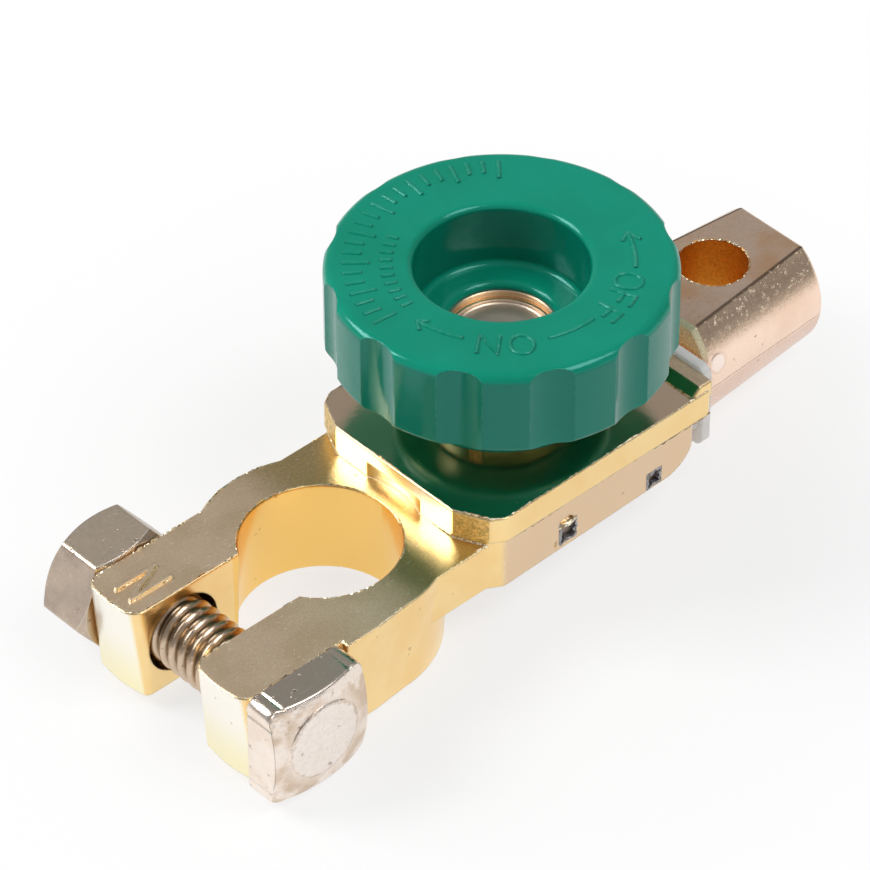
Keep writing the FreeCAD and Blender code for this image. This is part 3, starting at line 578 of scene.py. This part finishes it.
def fastener_material(name, sides, sides_worn, tops, dullest):
    """Nickel plating, with pits, a tan stain, a faint ring round the head's disc and a darker thread, with
    painted shade in its valleys.
    """
    material, tree, shader = material_tree(name)
    place, at, facing = surface(tree)
    up = ramp(tree, facing["Z"], 0.80, 0.97)
    cloud = noise_value(tree, place, 0.30, 3.0)
    grain = noise_value(tree, place, 3.0, 5.0, 0.7)
    pits = ramp(tree, noise_value(tree, place, 1.1, 3.0, 0.6), 0.66, 0.72)
    scratch_place = stretched(tree, place, 0.35, 2.6, 2.6)
    scratches = ramp(tree, noise_value(tree, scratch_place, 1.2, 3.0, 0.7), 0.60, 0.68)
    hammered = noise_value(tree, place, 0.75, 3.0, 0.6)
    edges, rounded = edge_mask(tree, 0.22)

    near_front = ramp(tree, at["Y"], HEAD_FRONT_Y + 2.5, HEAD_FRONT_Y + 2.1)
    front = multiply(tree, ramp(tree, facing["Y"], -0.60, -0.80), near_front)
    from_axis = distance_from(tree, place, (BOLT_X / MM, 0.0, BOLT_Z / MM), 1.0, 0.0, 1.0)
    wavering = total(tree, from_axis, multiply(tree, noise_value(tree, place, 0.5, 3.0), 1.1))
    on_ring = between(tree, wavering, DISC_R + 0.25, DISC_R + 0.5, 0.20)
    ring = multiply(tree, front, on_ring, ramp(tree, grain, 0.40, 0.60))
    disc = multiply(tree, front, ramp(tree, wavering, DISC_R + 0.4, DISC_R + 0.1))
    off_disc = ramp(tree, from_axis, DISC_R - 0.2, DISC_R + 1.4)
    stain = multiply(tree, front, off_disc, ramp(tree, cloud, 0.42, 0.58))
    seat_y = HEAD_FRONT_Y + HEAD_THICKNESS
    in_thread = ramp(tree, from_axis, BOLT_CREST_R + 0.35, BOLT_CREST_R + 0.15)
    shank = multiply(tree, ramp(tree, at["Y"], seat_y + 0.1, seat_y + 0.3), in_thread)
    valley_shade = multiply(tree, shank, ramp(tree, from_axis, BOLT_CREST_R - 0.2, BOLT_ROOT_R + 0.15))
    bright_edge = multiply(tree, edges, ramp(tree, grain, 0.35, 0.5), mix_value(tree, shank, 0.7, 0.1))

    base = mix_colour(tree, ramp(tree, cloud, 0.35, 0.65), sides, sides_worn)
    base = layered(tree, base, (
        (multiply(tree, up, 0.9), tops),
        (shank, colour(0.64, 0.49, 0.36)),
        # Painted shade in the thread's valleys.
        (multiply(tree, valley_shade, 0.8), colour(0.28, 0.20, 0.12)),
        (multiply(tree, disc, 0.7), colour(1.0, 0.92, 0.86)),
        (multiply(tree, front, ramp(tree, grain, 0.45, 0.65), 0.3), colour(0.78, 0.66, 0.58)),
        (multiply(tree, stain, 0.8), colour(0.66, 0.50, 0.36)),
        (multiply(tree, ring, 0.5), colour(0.46, 0.36, 0.30)),
        (multiply(tree, scratches, 0.25), colour(0.98, 0.92, 0.84)),
        (multiply(tree, pits, 0.6), colour(0.42, 0.31, 0.25)),
        (bright_edge, colour(1.0, 0.93, 0.82)),
    ))
    rough = mix_value(tree, grain, 0.16, dullest)
    rough = mix_value(tree, front, rough, 0.34)
    height = total(
        tree,
        multiply(tree, grain, mix_value(tree, front, 0.010, 0.03)),
        multiply(tree, cloud, mix_value(tree, front, 0.06, 0.35)),
        multiply(tree, hammered, front, 0.16),
        multiply(tree, pits, -0.05),
    )
    finish(tree, shader, base, rough)
    bumped(tree, shader, height, rounded)
    return material


def brass_material():
    """Turned brass with fine rings about the screw's axis."""
    material, tree, shader = material_tree("turned_brass")
    place, _, facing = surface(tree)
    from_axis = distance_from(tree, place, (KNOB_X / MM, 0.0, 0.0), 1.0, 1.0, 0.0)
    rings = noise_value(tree, add(tree, "ShaderNodeCombineXYZ", None, X=from_axis).outputs[0], 9.0, 2.0)
    cloud = noise_value(tree, place, 0.35, 3.0)
    face = ramp(tree, facing["Z"], 0.6, 0.9)
    patches = ramp(tree, cloud, 0.35, 0.65)
    turned_face = mix_colour(tree, patches, colour(0.84, 0.71, 0.64), colour(0.90, 0.76, 0.68))
    base = mix_colour(tree, face, colour(0.90, 0.62, 0.34), turned_face)
    base = mix_colour(tree, multiply(tree, rings, 0.3), base, colour(0.40, 0.32, 0.28))
    side_rough = mix_value(tree, rings, 0.20, 0.34)
    face_rough = mix_value(tree, rings, 0.42, 0.60)
    finish(tree, shader, base, mix_value(tree, face, side_rough, face_rough))
    bumped(tree, shader, multiply(tree, rings, 0.02), None, 0.6)
    return material


def let_light_in(shader, weight, radius):
    """Light that enters the plastic and scatters, with a radius in millimetres for each colour."""
    shader.inputs["Subsurface Weight"].default_value = weight
    shader.inputs["Subsurface Radius"].default_value = [value * MM for value in radius]
    shader.inputs["Subsurface Scale"].default_value = 1.0


def green_material():
    """Glossy green moulding with faint flow marks, scuffed edges and painted shade on its upright sides."""
    material, tree, shader = material_tree("green_moulding")
    place, at, facing = surface(tree)
    cloud = noise_value(tree, place, 0.09, 3.0)
    fine = noise_value(tree, place, 1.6, 4.0, 0.6)
    edges, rounded = edge_mask(tree, 0.25)
    knob_top = KNOB_HIGH.z / MM
    upper = ramp(tree, at["Z"], knob_top - 8.2, knob_top - 6.7)
    scuff = multiply(tree, edges, ramp(tree, fine, 0.42, 0.62), upper)
    upright_shade = ramp(tree, facing["Z"], 0.45, 0.15)
    patches = ramp(tree, cloud, 0.3, 0.7)
    base = mix_colour(tree, patches, colour(0.003, 0.265, 0.165), colour(0.004, 0.30, 0.195))
    # Painted shade: the upright sides of the knob are painted a darker green.
    base = mix_colour(tree, multiply(tree, upright_shade, 0.8), base, colour(0.002, 0.16, 0.105))
    base = mix_colour(tree, multiply(tree, scuff, 0.4), base, colour(0.16, 0.52, 0.40))
    finish(tree, shader, base, mix_value(tree, fine, 0.08, 0.18), 0.0)
    shader.inputs["IOR"].default_value = 1.5
    shader.inputs["Specular Tint"].default_value = colour(0.45, 1.0, 1.0)
    let_light_in(shader, 0.12, (0.2, 1.2, 0.7))
    height = total(tree, multiply(tree, cloud, 0.25), multiply(tree, fine, 0.004))
    bumped(tree, shader, height, rounded, 0.6)
    return material


def nylon_material():
    """Milky nylon, a little translucent."""
    material, tree, shader = material_tree("milky_nylon")
    place = place_in_mm(tree)
    cloud = noise_value(tree, place, 0.5, 3.0)
    base = mix_colour(tree, cloud, colour(0.93, 0.91, 0.89), colour(0.97, 0.95, 0.93))
    finish(tree, shader, base, mix_value(tree, cloud, 0.30, 0.42), 0.0)
    let_light_in(shader, 0.8, (3.0, 2.8, 2.6))
    bumped(tree, shader, multiply(tree, noise_value(tree, place, 3.0), 0.01), None, 0.3)
    return material


CASTING = casting_material()
TORN = burr_material("torn_plating", colour(1.0, 0.91, 0.70), colour(0.30, 0.21, 0.10), 0.50)
FLASH = burr_material("dark_flash", colour(0.80, 0.58, 0.34), colour(0.20, 0.13, 0.06), 0.42)
ZINC = zinc_material()
LUG_PLATING = lug_material()
NICKEL = fastener_material(
    "nickel_plating", colour(0.97, 0.86, 0.77), colour(0.90, 0.76, 0.64), colour(0.76, 0.66, 0.54), 0.30
)
NUT_PLATING = fastener_material(
    "nut_plating", colour(0.48, 0.39, 0.32), colour(0.58, 0.47, 0.37), colour(0.96, 0.80, 0.63), 0.48
)
BRASS = brass_material()
GREEN = green_material()
NYLON = nylon_material()


def dress_nodes():
    """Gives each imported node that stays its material."""
    for name, material in (
        ("clamp_body", CASTING), ("cable_lug", LUG_PLATING), ("clamp_nut", NUT_PLATING),
        ("knob", GREEN), ("insulator_sleeve", NYLON), ("insulator_cover", NYLON),
    ):
        obj = frame["nodes"][name]
        obj.data.materials.clear()
        obj.data.materials.append(material)


# Torn plating on the edges of the casting and of the lug's hole

def casting_piece(name, bm, material, smooth_angle=None):
    """Piece of looks that belongs to the casting."""
    piece = mesh_object(name, bm, material, smooth_angle)
    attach(piece, "clamp")


def flat_rim(name, level):
    """Edges round the flat tops of a node at a height, each with its outward direction."""
    bm = bmesh.new()
    bm.from_mesh(frame["nodes"][name].data)
    bmesh.ops.remove_doubles(bm, verts=bm.verts, dist=0.001 * MM)
    near = 0.02 * MM
    flat = set()
    for face in bm.faces:
        if face.normal.z > 0.999 and abs(face.calc_center_median().z - level * MM) < near:
            flat.add(face)
    rim = []
    for edge in bm.edges:
        inside = [face for face in edge.link_faces if face in flat]
        if len(inside) != 1:
            continue
        one, other = [vert.co.copy() for vert in edge.verts]
        outward = (other - one).cross(Vector((0, 0, 1))).normalized()
        if outward.dot(inside[0].calc_center_median() - one) > 0:
            outward.negate()
        rim.append((one, other, outward))
    bm.free()
    return rim


def add_burrs(bm, rim, cut, tall):
    """Ragged ribbon along a rim, which stands up only where the plating is torn."""
    step = 0.16 * MM
    sunk = -0.04 * MM
    lean = 0.02 * MM
    mean_width = 0.10
    up = Vector((0, 0, 1))
    for one, other, outward in rim:
        count = max(1, round((other - one).length / step))
        rings = []
        for index in range(count + 1):
            point = one.lerp(other, index / count)
            patch = noise.noise(point / MM * 0.30)
            tooth = noise.noise(point / MM * 2.7)
            rise = max(sunk, ((patch - cut) * 0.5 + tooth * 0.45) * tall * MM)
            width = (mean_width + 0.08 * noise.noise(point / MM * 1.9)) * MM
            rings.append([
                point - outward * width + up * sunk,
                point + outward * lean + up * rise,
                point + outward * (width * 0.9) + up * (sunk * 1.6),
            ])
        add_rings(bm, rings, True, True)


def plating_burrs():
    """Torn plating round the flat tops of the clamp and of the plate."""
    bm = bmesh.new()
    add_burrs(bm, flat_rim("clamp_body", CLAMP_TOP), -0.12, 0.50)
    add_burrs(bm, flat_rim("clamp_body", PLATE_TOP), -0.12, 0.52)
    casting_piece("plating_burrs", bm, TORN)


def lug_hole_burrs():
    """Bright chipped plating round the mouth of the lug's cross hole."""
    centre = Vector((LUG_HOLE_X, 0, BARREL_TOP)) * MM
    reach = (LUG_HOLE_R + 0.3) * MM
    rim = [entry for entry in flat_rim("cable_lug", BARREL_TOP) if (entry[0] - centre).length < reach]
    bm = bmesh.new()
    add_burrs(bm, rim, -0.25, 0.30)
    piece = mesh_object("lug_hole_burrs", bm, TORN)
    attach(piece, "clamp")


def lip_flash():
    """Ragged seam of flash along the foot of the lip, on both sides."""
    bm = bmesh.new()
    step = 0.15
    least_drop = 0.05
    mean_drop = 0.18
    root_z = LIP_FOOT + 0.05
    count = int((LIP_END - LIP_START) / step)
    for side in (-1, 1):
        outer = side * (LIP_HALF - 0.02)
        inner = side * (LIP_HALF - 0.16)
        rings = []
        for index in range(count + 1):
            x = LIP_START + index * step
            patch = noise.noise(Vector((x * 0.22, side * 2.0, 0.5)))
            tooth = noise.noise(Vector((x * 1.7, side * 5.0, 3.0)))
            drop = max(least_drop, mean_drop + 0.24 * patch + 0.22 * tooth)
            rings.append([
                Vector((x, outer, root_z)) * MM,
                Vector((x, outer - side * 0.05, LIP_FOOT - drop)) * MM,
                Vector((x, inner, LIP_FOOT - drop * 0.7)) * MM,
                Vector((x, inner, root_z)) * MM,
            ])
        add_rings(bm, rings, True, True)
    casting_piece("lip_flash", bm, FLASH)


# Torn plating round the casting's notches

def torn_outline(centre_x, width, height, side, grow, depth):
    """Ragged loop round a notch, grown outwards by a distance, at a depth from the wall."""
    count = 56
    raggedness = 0.46
    middle_z = NOTCH_FOOT + height / 2
    y = side * (WALL_HALF + depth)
    points = []
    for index in range(count):
        angle = 2 * math.pi * index / count
        cosine = math.cos(angle)
        sine = math.sin(angle)
        reach = 1 / max(abs(cosine) / (width / 2), abs(sine) / (height / 2))
        reach += grow + raggedness * noise.noise(Vector((cosine * 3, sine * 3, centre_x + side)))
        points.append(Vector((centre_x + reach * cosine, y, middle_z + reach * sine)) * MM)
    return points


def add_lump(bm, side, x, z, stations):
    """Small closed sausage on the wall; a station is along it, out of it, up and radius."""
    sides = 10
    rings = []
    for along, out, up, radius in stations:
        centre_x = x + along
        ring = []
        for index in range(sides):
            angle = 2 * math.pi * index / sides
            cosine = math.cos(angle)
            sine = math.sin(angle)
            reach = radius * (1 + 0.25 * noise.noise(Vector((centre_x * 2, cosine * 2, sine * 2))))
            y = side * (WALL_HALF + out) + reach * cosine
            ring.append(Vector((centre_x, y, z + up + reach * sine)) * MM)
        rings.append(ring)
    add_rings(bm, rings, True, True)


def notch_tears():
    """Bare torn rims round the four notches, with a curl of plating and a nub by two of them."""
    rim_section = ((-0.42, -0.45), (-0.34, 0.01), (-0.10, 0.04), (0.06, -0.06), (0.06, -0.45))
    curl = (
        (-1.3, -0.05, -0.5, 0.12), (-0.8, 0.15, -0.1, 0.22), (-0.1, 0.20, -0.25, 0.30),
        (0.6, 0.15, 0.05, 0.26), (1.2, -0.05, -0.3, 0.12),
    )
    nub = (
        (-1.55, -0.08, 0.9, 0.05), (-1.75, 0.04, 0.5, 0.14),
        (-1.8, 0.04, 0.1, 0.15), (-1.75, -0.08, -0.3, 0.05),
    )
    rims = bmesh.new()
    curls = bmesh.new()
    for centre_x, width, height in zip(NOTCH_PLACES, NOTCH_WIDTHS, NOTCH_HEIGHTS):
        for side in (-1, 1):
            rings = []
            for grow, depth in rim_section:
                rings.append(torn_outline(centre_x, width, height, side, grow, depth))
            add_rings(rims, rings, False, False, looped=True)
    for side in (-1, 1):
        add_lump(curls, side, NOTCH_PLACES[0], NOTCH_FOOT + NOTCH_HEIGHTS[0], curl)
        add_lump(curls, side, NOTCH_PLACES[0], NOTCH_FOOT, nub)
    casting_piece("notch_tears", rims, ZINC, 40)
    casting_piece("notch_curls", curls, TORN, 60)


# The square-head bolt with its thread

def square_reach(angle, half, corner_r):
    """Distance from the axis to a square's rounded outline at an angle."""
    angle = abs((angle + math.pi / 4) % (math.pi / 2) - math.pi / 4)
    flat = half / math.cos(angle)
    centre = half - corner_r
    turn = math.pi / 4 - angle
    far = centre * math.sqrt(2)
    inside = corner_r ** 2 - (far * math.sin(turn)) ** 2
    if inside <= 0:
        return flat
    return min(flat, far * math.cos(turn) + math.sqrt(inside))


def ring_about_bolt(radius_and_y):
    """Ring of points about the bolt's axis, from a function of the cosine, the sine and the angle."""
    segments = 192
    ring = []
    for index in range(segments):
        angle = 2 * math.pi * index / segments
        cosine = math.cos(angle)
        sine = math.sin(angle)
        radius, y = radius_and_y(cosine, sine, angle)
        ring.append(Vector((BOLT_X + radius * cosine, y, BOLT_Z + radius * sine)))
    return ring


def head_rings():
    """Rings of the bolt's head, from its seat over its edge and its crown to the middle of its disc."""
    head_half = (BOLT_HIGH.x - BOLT_LOW.x) / 2
    front_y = BOLT_LOW.y
    seat_y = front_y + HEAD_THICKNESS * MM
    disc_r = DISC_R * MM
    corner_reach = head_half * math.sqrt(2)
    crown_inset = 0.35 * MM

    def square(angle):
        return square_reach(angle, head_half, HEAD_CORNER_R * MM)

    def dome_y(radius):
        share = max(0.0, radius - disc_r) / (corner_reach - disc_r)
        return front_y + CROWN_DROP * MM * share ** 1.25

    def side(shrink, y):
        return ring_about_bolt(lambda cosine, sine, angle: (square(angle) - shrink * MM, y))

    def edge(shrink, depth):
        def place(cosine, sine, angle):
            reach = square(angle) - shrink * MM
            return reach, dome_y(reach) + depth * MM
        return ring_about_bolt(place)

    def crown(share, depth):
        def place(cosine, sine, angle):
            radius = disc_r + (square(angle) - crown_inset - disc_r) * share
            wobble = noise.noise(Vector((cosine, sine, share)) * 2.5) * 0.06
            return radius, dome_y(radius) + (depth + wobble) * MM
        return ring_about_bolt(place)

    def disc(share, depth):
        def place(cosine, sine, angle):
            radius = disc_r * share
            wobble = noise.noise(Vector((cosine, sine, radius / MM)) * 1.7)
            return radius * (1 + 0.025 * wobble), front_y + (depth + 0.02 * wobble) * MM
        return ring_about_bolt(place)

    return [
        side(0.30, seat_y), side(0.08, seat_y - 0.08 * MM), side(0.0, seat_y - 0.30 * MM),
        edge(0.0, 0.34), edge(0.05, 0.14), edge(0.16, 0.03),
        crown(1.0, 0.0), crown(0.8, 0.0), crown(0.55, 0.03),
        crown(0.3, 0.09), crown(0.12, 0.20), crown(0.02, 0.24),
        disc(0.985, 0.14), disc(0.95, 0.05), disc(0.86, 0.0),
        disc(0.6, 0.03), disc(0.3, 0.06), disc(0.05, 0.06),
    ]


def bolt():
    """Square head with a crowned face and a raised disc, on a rolled thread."""
    seat_y = BOLT_LOW.y + HEAD_THICKNESS * MM
    tip_y = BOLT_HIGH.y
    root = BOLT_ROOT_R * MM
    crest = BOLT_CREST_R * MM
    centre = Vector((BOLT_X, 0, BOLT_Z))
    along = Vector((0, 1, 0))
    bm = bmesh.new()
    add_rings(bm, head_rings(), True, True)
    add_lathe(bm, centre, along, [
        (root, seat_y - 0.5 * MM), (root, tip_y - 0.7 * MM), (root - 0.6 * MM, tip_y),
    ])
    add_thread(bm, centre, along, root, crest, BOLT_PITCH * MM, seat_y + 1.2 * MM, tip_y - 0.9 * MM)
    piece = mesh_object("square_head_bolt", bm, NICKEL, 35)
    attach(piece, "clamp_bolt")
    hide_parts("clamp_bolt")


# The contact screw with its thread

def screw():
    """Brass screw with a cupped head, whose turned face shows at the floor of the recess."""
    centre = Vector((KNOB_X, 0, 0))
    up = Vector((0, 0, 1))
    foot = SCREW_LOW.z
    head_r = (SCREW_HIGH.x - SCREW_LOW.x) / 2
    head_top = SCREW_HIGH.z - COLLAR_HEIGHT * MM
    head_foot = head_top - SCREW_HEAD_THICKNESS * MM
    root = SCREW_ROOT_R * MM
    crest = SCREW_CREST_R * MM
    relief_z = head_foot - 0.6 * MM
    profile = [
        (root - 0.5 * MM, foot), (root, foot + 0.5 * MM), (root, relief_z),
        (crest, relief_z), (crest, head_foot), (head_r, head_foot), (head_r, head_top),
    ]
    collar = (
        (6.30, 0.0), (6.30, COLLAR_HEIGHT - 0.10), (6.20, COLLAR_HEIGHT), (5.72, COLLAR_HEIGHT),
        (5.62, COLLAR_HEIGHT - 0.10), (5.60, 0.20),
    )
    turned_face = (
        (5.48, 0.04), (5.30, 0.0), (5.20, 0.10), (4.95, 0.12), (4.80, 0.0), (4.3, -0.05),
        (4.1, 0.03), (3.0, -0.10), (1.2, -0.18), (0.2, -0.2),
    )
    for radius, rise in collar + turned_face:
        profile.append((radius * MM, head_top + rise * MM))
    bm = bmesh.new()
    add_lathe(bm, centre, up, profile, 128)
    add_thread(bm, centre, up, root, crest, SCREW_PITCH * MM, foot + 0.8 * MM, head_foot - 0.9 * MM)
    piece = mesh_object("threaded_contact_screw", bm, BRASS, 30)
    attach(piece, "contact_screw")
    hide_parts("contact_screw")


# Raised marks on the knob's top face

def on_knob(radius, degrees):
    """Point on the knob's top face."""
    angle = math.radians(degrees)
    return Vector((KNOB_X + radius * MM * math.cos(angle), radius * MM * math.sin(angle), KNOB_HIGH.z))


def raised_lines(name, lines):
    """Round-edged raised strokes through lists of points."""
    data = bpy.data.curves.new(name, "CURVE")
    data.dimensions = "3D"
    data.bevel_depth = MARK_WIDTH * MM / 2
    data.bevel_resolution = 3
    data.use_fill_caps = True
    for points in lines:
        spline = data.splines.new("POLY")
        spline.points.add(len(points) - 1)
        for target, point in zip(spline.points, points):
            target.co = (point.x, point.y, point.z - MARK_SINK * MM, 1.0)
    obj = bpy.data.objects.new(name, data)
    bpy.context.scene.collection.objects.link(obj)
    data.materials.append(GREEN)
    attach(obj, "knob")


def arc(radius, start, end, step=2.0):
    """Points along an arc of the knob's top face, about step degrees apart."""
    count = max(2, int(abs(end - start) / step) + 1)
    return [on_knob(radius, start + (end - start) * index / (count - 1)) for index in range(count)]


def letter_point(centre_degrees, across, up):
    """Point of a letter whose top faces outward; across and up are in millimetres."""
    angle = math.radians(centre_degrees)
    outward = Vector((math.cos(angle), math.sin(angle), 0))
    sideways = Vector((-math.sin(angle), math.cos(angle), 0))
    base = Vector((KNOB_X, 0, KNOB_HIGH.z))
    return base + outward * (LETTER_R + up) * MM - sideways * across * MM


def letter(shape, degrees):
    """Strokes of a plain capital; its left side is the counterclockwise one, seen from above."""
    half_w = LETTER_HALF_WIDTH
    half_h = LETTER_HALF_HEIGHT
    strokes = []
    if shape == "O":
        turns = [2 * math.pi * index / 28 for index in range(29)]
        strokes.append([(half_w * 1.15 * math.cos(turn), half_h * math.sin(turn)) for turn in turns])
    if shape == "N":
        strokes.append([(-half_w, -half_h), (-half_w, half_h), (half_w, -half_h), (half_w, half_h)])
    if shape == "F":
        strokes.append([(-0.8 * half_w, -half_h), (-0.8 * half_w, half_h), (0.9 * half_w, half_h)])
        strokes.append([(-0.8 * half_w, 0.1), (0.7 * half_w, 0.1)])
    return [[letter_point(degrees, across, up) for across, up in stroke] for stroke in strokes]


def switch_marks():
    """ON and OFF with the line between them and an arrow past each."""
    lines = []
    for shape, degrees in (("O", 235.3), ("N", 220.7), ("O", 303), ("F", 291), ("F", 279)):
        lines.extend(letter(shape, degrees))
    on_arrow = [on_knob(13.8, 189.5), on_knob(12.8, 184.5), on_knob(12.1, 189.0)]
    off_arrow = [on_knob(14.7, 331.0), on_knob(13.7, 336.5), on_knob(12.8, 331.5)]
    lines.append(arc(12.8, 208.6, 185.5))
    lines.append(on_arrow)
    lines.append(arc(13.0, 248, 272))
    lines.append(arc(13.7, 312.6, 335))
    lines.append(off_arrow)
    raised_lines("switch_marks", lines)


def dial_ticks():
    """Plain graduated scale on the far side, in a long row and a short one."""
    step = 6.0
    long_row_start = 48
    long_row_r = 16.4
    long_tick_foot_r = 13.6
    tick_foot_r = 14.5
    short_row_start = 118
    short_row_r = 12.5
    short_row_foot_r = 11.3
    ticks = []
    for index in range(22):
        degrees = long_row_start + index * step
        foot_r = long_tick_foot_r if index % 3 == 0 else tick_foot_r
        ticks.append([on_knob(foot_r, degrees), on_knob(long_row_r, degrees)])
    for index in range(10):
        degrees = short_row_start + index * step
        ticks.append([on_knob(short_row_foot_r, degrees), on_knob(short_row_r, degrees)])
    raised_lines("dial_ticks", ticks)


# Light, floor and camera

def floor_material(middle):
    """White that glows for the camera and for reflections, less so under the part, where shadows fall."""
    near = 0.03
    far = 0.075
    near_glow = 0.72
    material, tree, shader = material_tree("floor_white")
    shader.inputs["Base Color"].default_value = colour(0.95, 0.95, 0.95)
    shader.inputs["Roughness"].default_value = 0.9
    shader.inputs["Specular IOR Level"].default_value = 0.1
    place = add(tree, "ShaderNodeTexCoord").outputs["Object"]
    distance = distance_from(tree, place, middle, 1.0, 1.0, 1.0)
    white = mix_value(tree, ramp(tree, distance, near, far), near_glow, 1.0)
    path = add(tree, "ShaderNodeLightPath").outputs
    seen = math_node(tree, "MAXIMUM", path["Is Camera Ray"], path["Is Glossy Ray"])
    glow = add(tree, "ShaderNodeEmission", None, Color=colour(1, 1, 1), Strength=1.0)
    mixed = add(tree, "ShaderNodeMixShader", None, Fac=multiply(tree, white, seen))
    tree.links.new(shader.outputs[0], mixed.inputs[1])
    tree.links.new(glow.outputs[0], mixed.inputs[2])
    tree.links.new(mixed.outputs[0], tree.nodes["Material Output"].inputs["Surface"])
    return material


def floor():
    """White table, on which the part lies with its arm's foot and its barrel's end."""
    lying_slope = 0.0485
    arm_foot_x = 12.7
    middle_x = 20.0
    clearance = 0.03
    half = 3.0
    first = Vector((1, 0, lying_slope)).normalized()
    second = Vector((0, 1, 0))
    middle = Vector((middle_x, 0, (middle_x - arm_foot_x) * lying_slope - clearance)) * MM
    corners = []
    for along, across in ((-1, -1), (1, -1), (1, 1), (-1, 1)):
        corners.append(middle + first * along * half + second * across * half)
    mesh = bpy.data.meshes.new("floor")
    mesh.from_pydata(corners, [], [(0, 1, 2, 3)])
    mesh.materials.append(floor_material(middle))
    obj = bpy.data.objects.new("floor", mesh)
    bpy.context.scene.collection.objects.link(obj)


def area_light(name, direction, radiance):
    """Square soft box in a direction from the object, facing it."""
    aim = Vector((20, 0, 8)) * MM
    distance = 0.70
    side = 0.33
    data = bpy.data.lights.new(name, "AREA")
    data.shape = "RECTANGLE"
    data.size = side
    data.size_y = side
    data.energy = radiance * math.pi * side * side
    obj = bpy.data.objects.new(name, data)
    toward = Vector(direction).normalized()
    obj.location = aim + toward * distance
    obj.rotation_euler = toward.to_track_quat("Z", "Y").to_euler()
    bpy.context.scene.collection.objects.link(obj)


def lights():
    """Key light from the camera's left and a weaker fill from above on its right."""
    area_light("key_box", (-0.51, 0.553, 0.659), 9.0)
    area_light("fill_box", (0.20, -0.50, 0.84), 5.0)


def world():
    """Dim grey room, white where the camera sees it."""
    room = bpy.data.worlds.new("room")
    bpy.context.scene.world = room
    room.use_nodes = True
    tree = room.node_tree
    tree.nodes.clear()
    upward = add(tree, "ShaderNodeTexCoord").outputs["Generated"]
    split = add(tree, "ShaderNodeSeparateXYZ", None, Vector=upward).outputs
    horizon_level = 0.40
    upper_level = 0.28
    level = mix_value(tree, ramp(tree, split["Z"], 0.0, 0.35), horizon_level, upper_level)
    path = add(tree, "ShaderNodeLightPath").outputs
    strength = mix_value(tree, path["Is Camera Ray"], level, 1.0)
    glow = add(tree, "ShaderNodeBackground", None, Color=colour(1, 1, 1), Strength=strength)
    add(tree, "ShaderNodeOutputWorld", None, Surface=glow.outputs[0])


def camera():
    """Camera of the photograph, from a fit to its straight edges and circles."""
    azimuth = math.radians(-42.67)
    elevation = math.radians(41.25)
    roll = math.radians(-0.26)
    distance = 597.02 * MM
    focal_px = 5641.38
    image_px = 870.0
    sensor_width = 36.0
    aim = Vector((22.44, 6.90, 8.47)) * MM
    level = math.cos(elevation)
    back = Vector((math.sin(azimuth) * level, -math.cos(azimuth) * level, math.sin(elevation)))
    right = (-back).cross(Vector((0, 0, 1))).normalized()
    up = back.cross(right)
    turned_right = right * math.cos(roll) + up * math.sin(roll)
    turned_up = up * math.cos(roll) - right * math.sin(roll)
    place = aim + back * distance
    data = bpy.data.cameras.new("camera")
    data.sensor_width = sensor_width
    data.lens = focal_px * sensor_width / image_px
    data.clip_start = 0.05
    data.clip_end = 20.0
    obj = bpy.data.objects.new("camera", data)
    obj.matrix_world = Matrix((
        (turned_right.x, turned_up.x, back.x, place.x),
        (turned_right.y, turned_up.y, back.y, place.y),
        (turned_right.z, turned_up.z, back.z, place.z),
        (0, 0, 0, 1),
    ))
    bpy.context.scene.collection.objects.link(obj)
    bpy.context.scene.camera = obj


dress_nodes()
plating_burrs()
lug_hole_burrs()
lip_flash()
notch_tears()
bolt()
screw()
switch_marks()
dial_ticks()
floor()
lights()
world()
camera()

bpy.context.scene.view_settings.view_transform = "Standard"
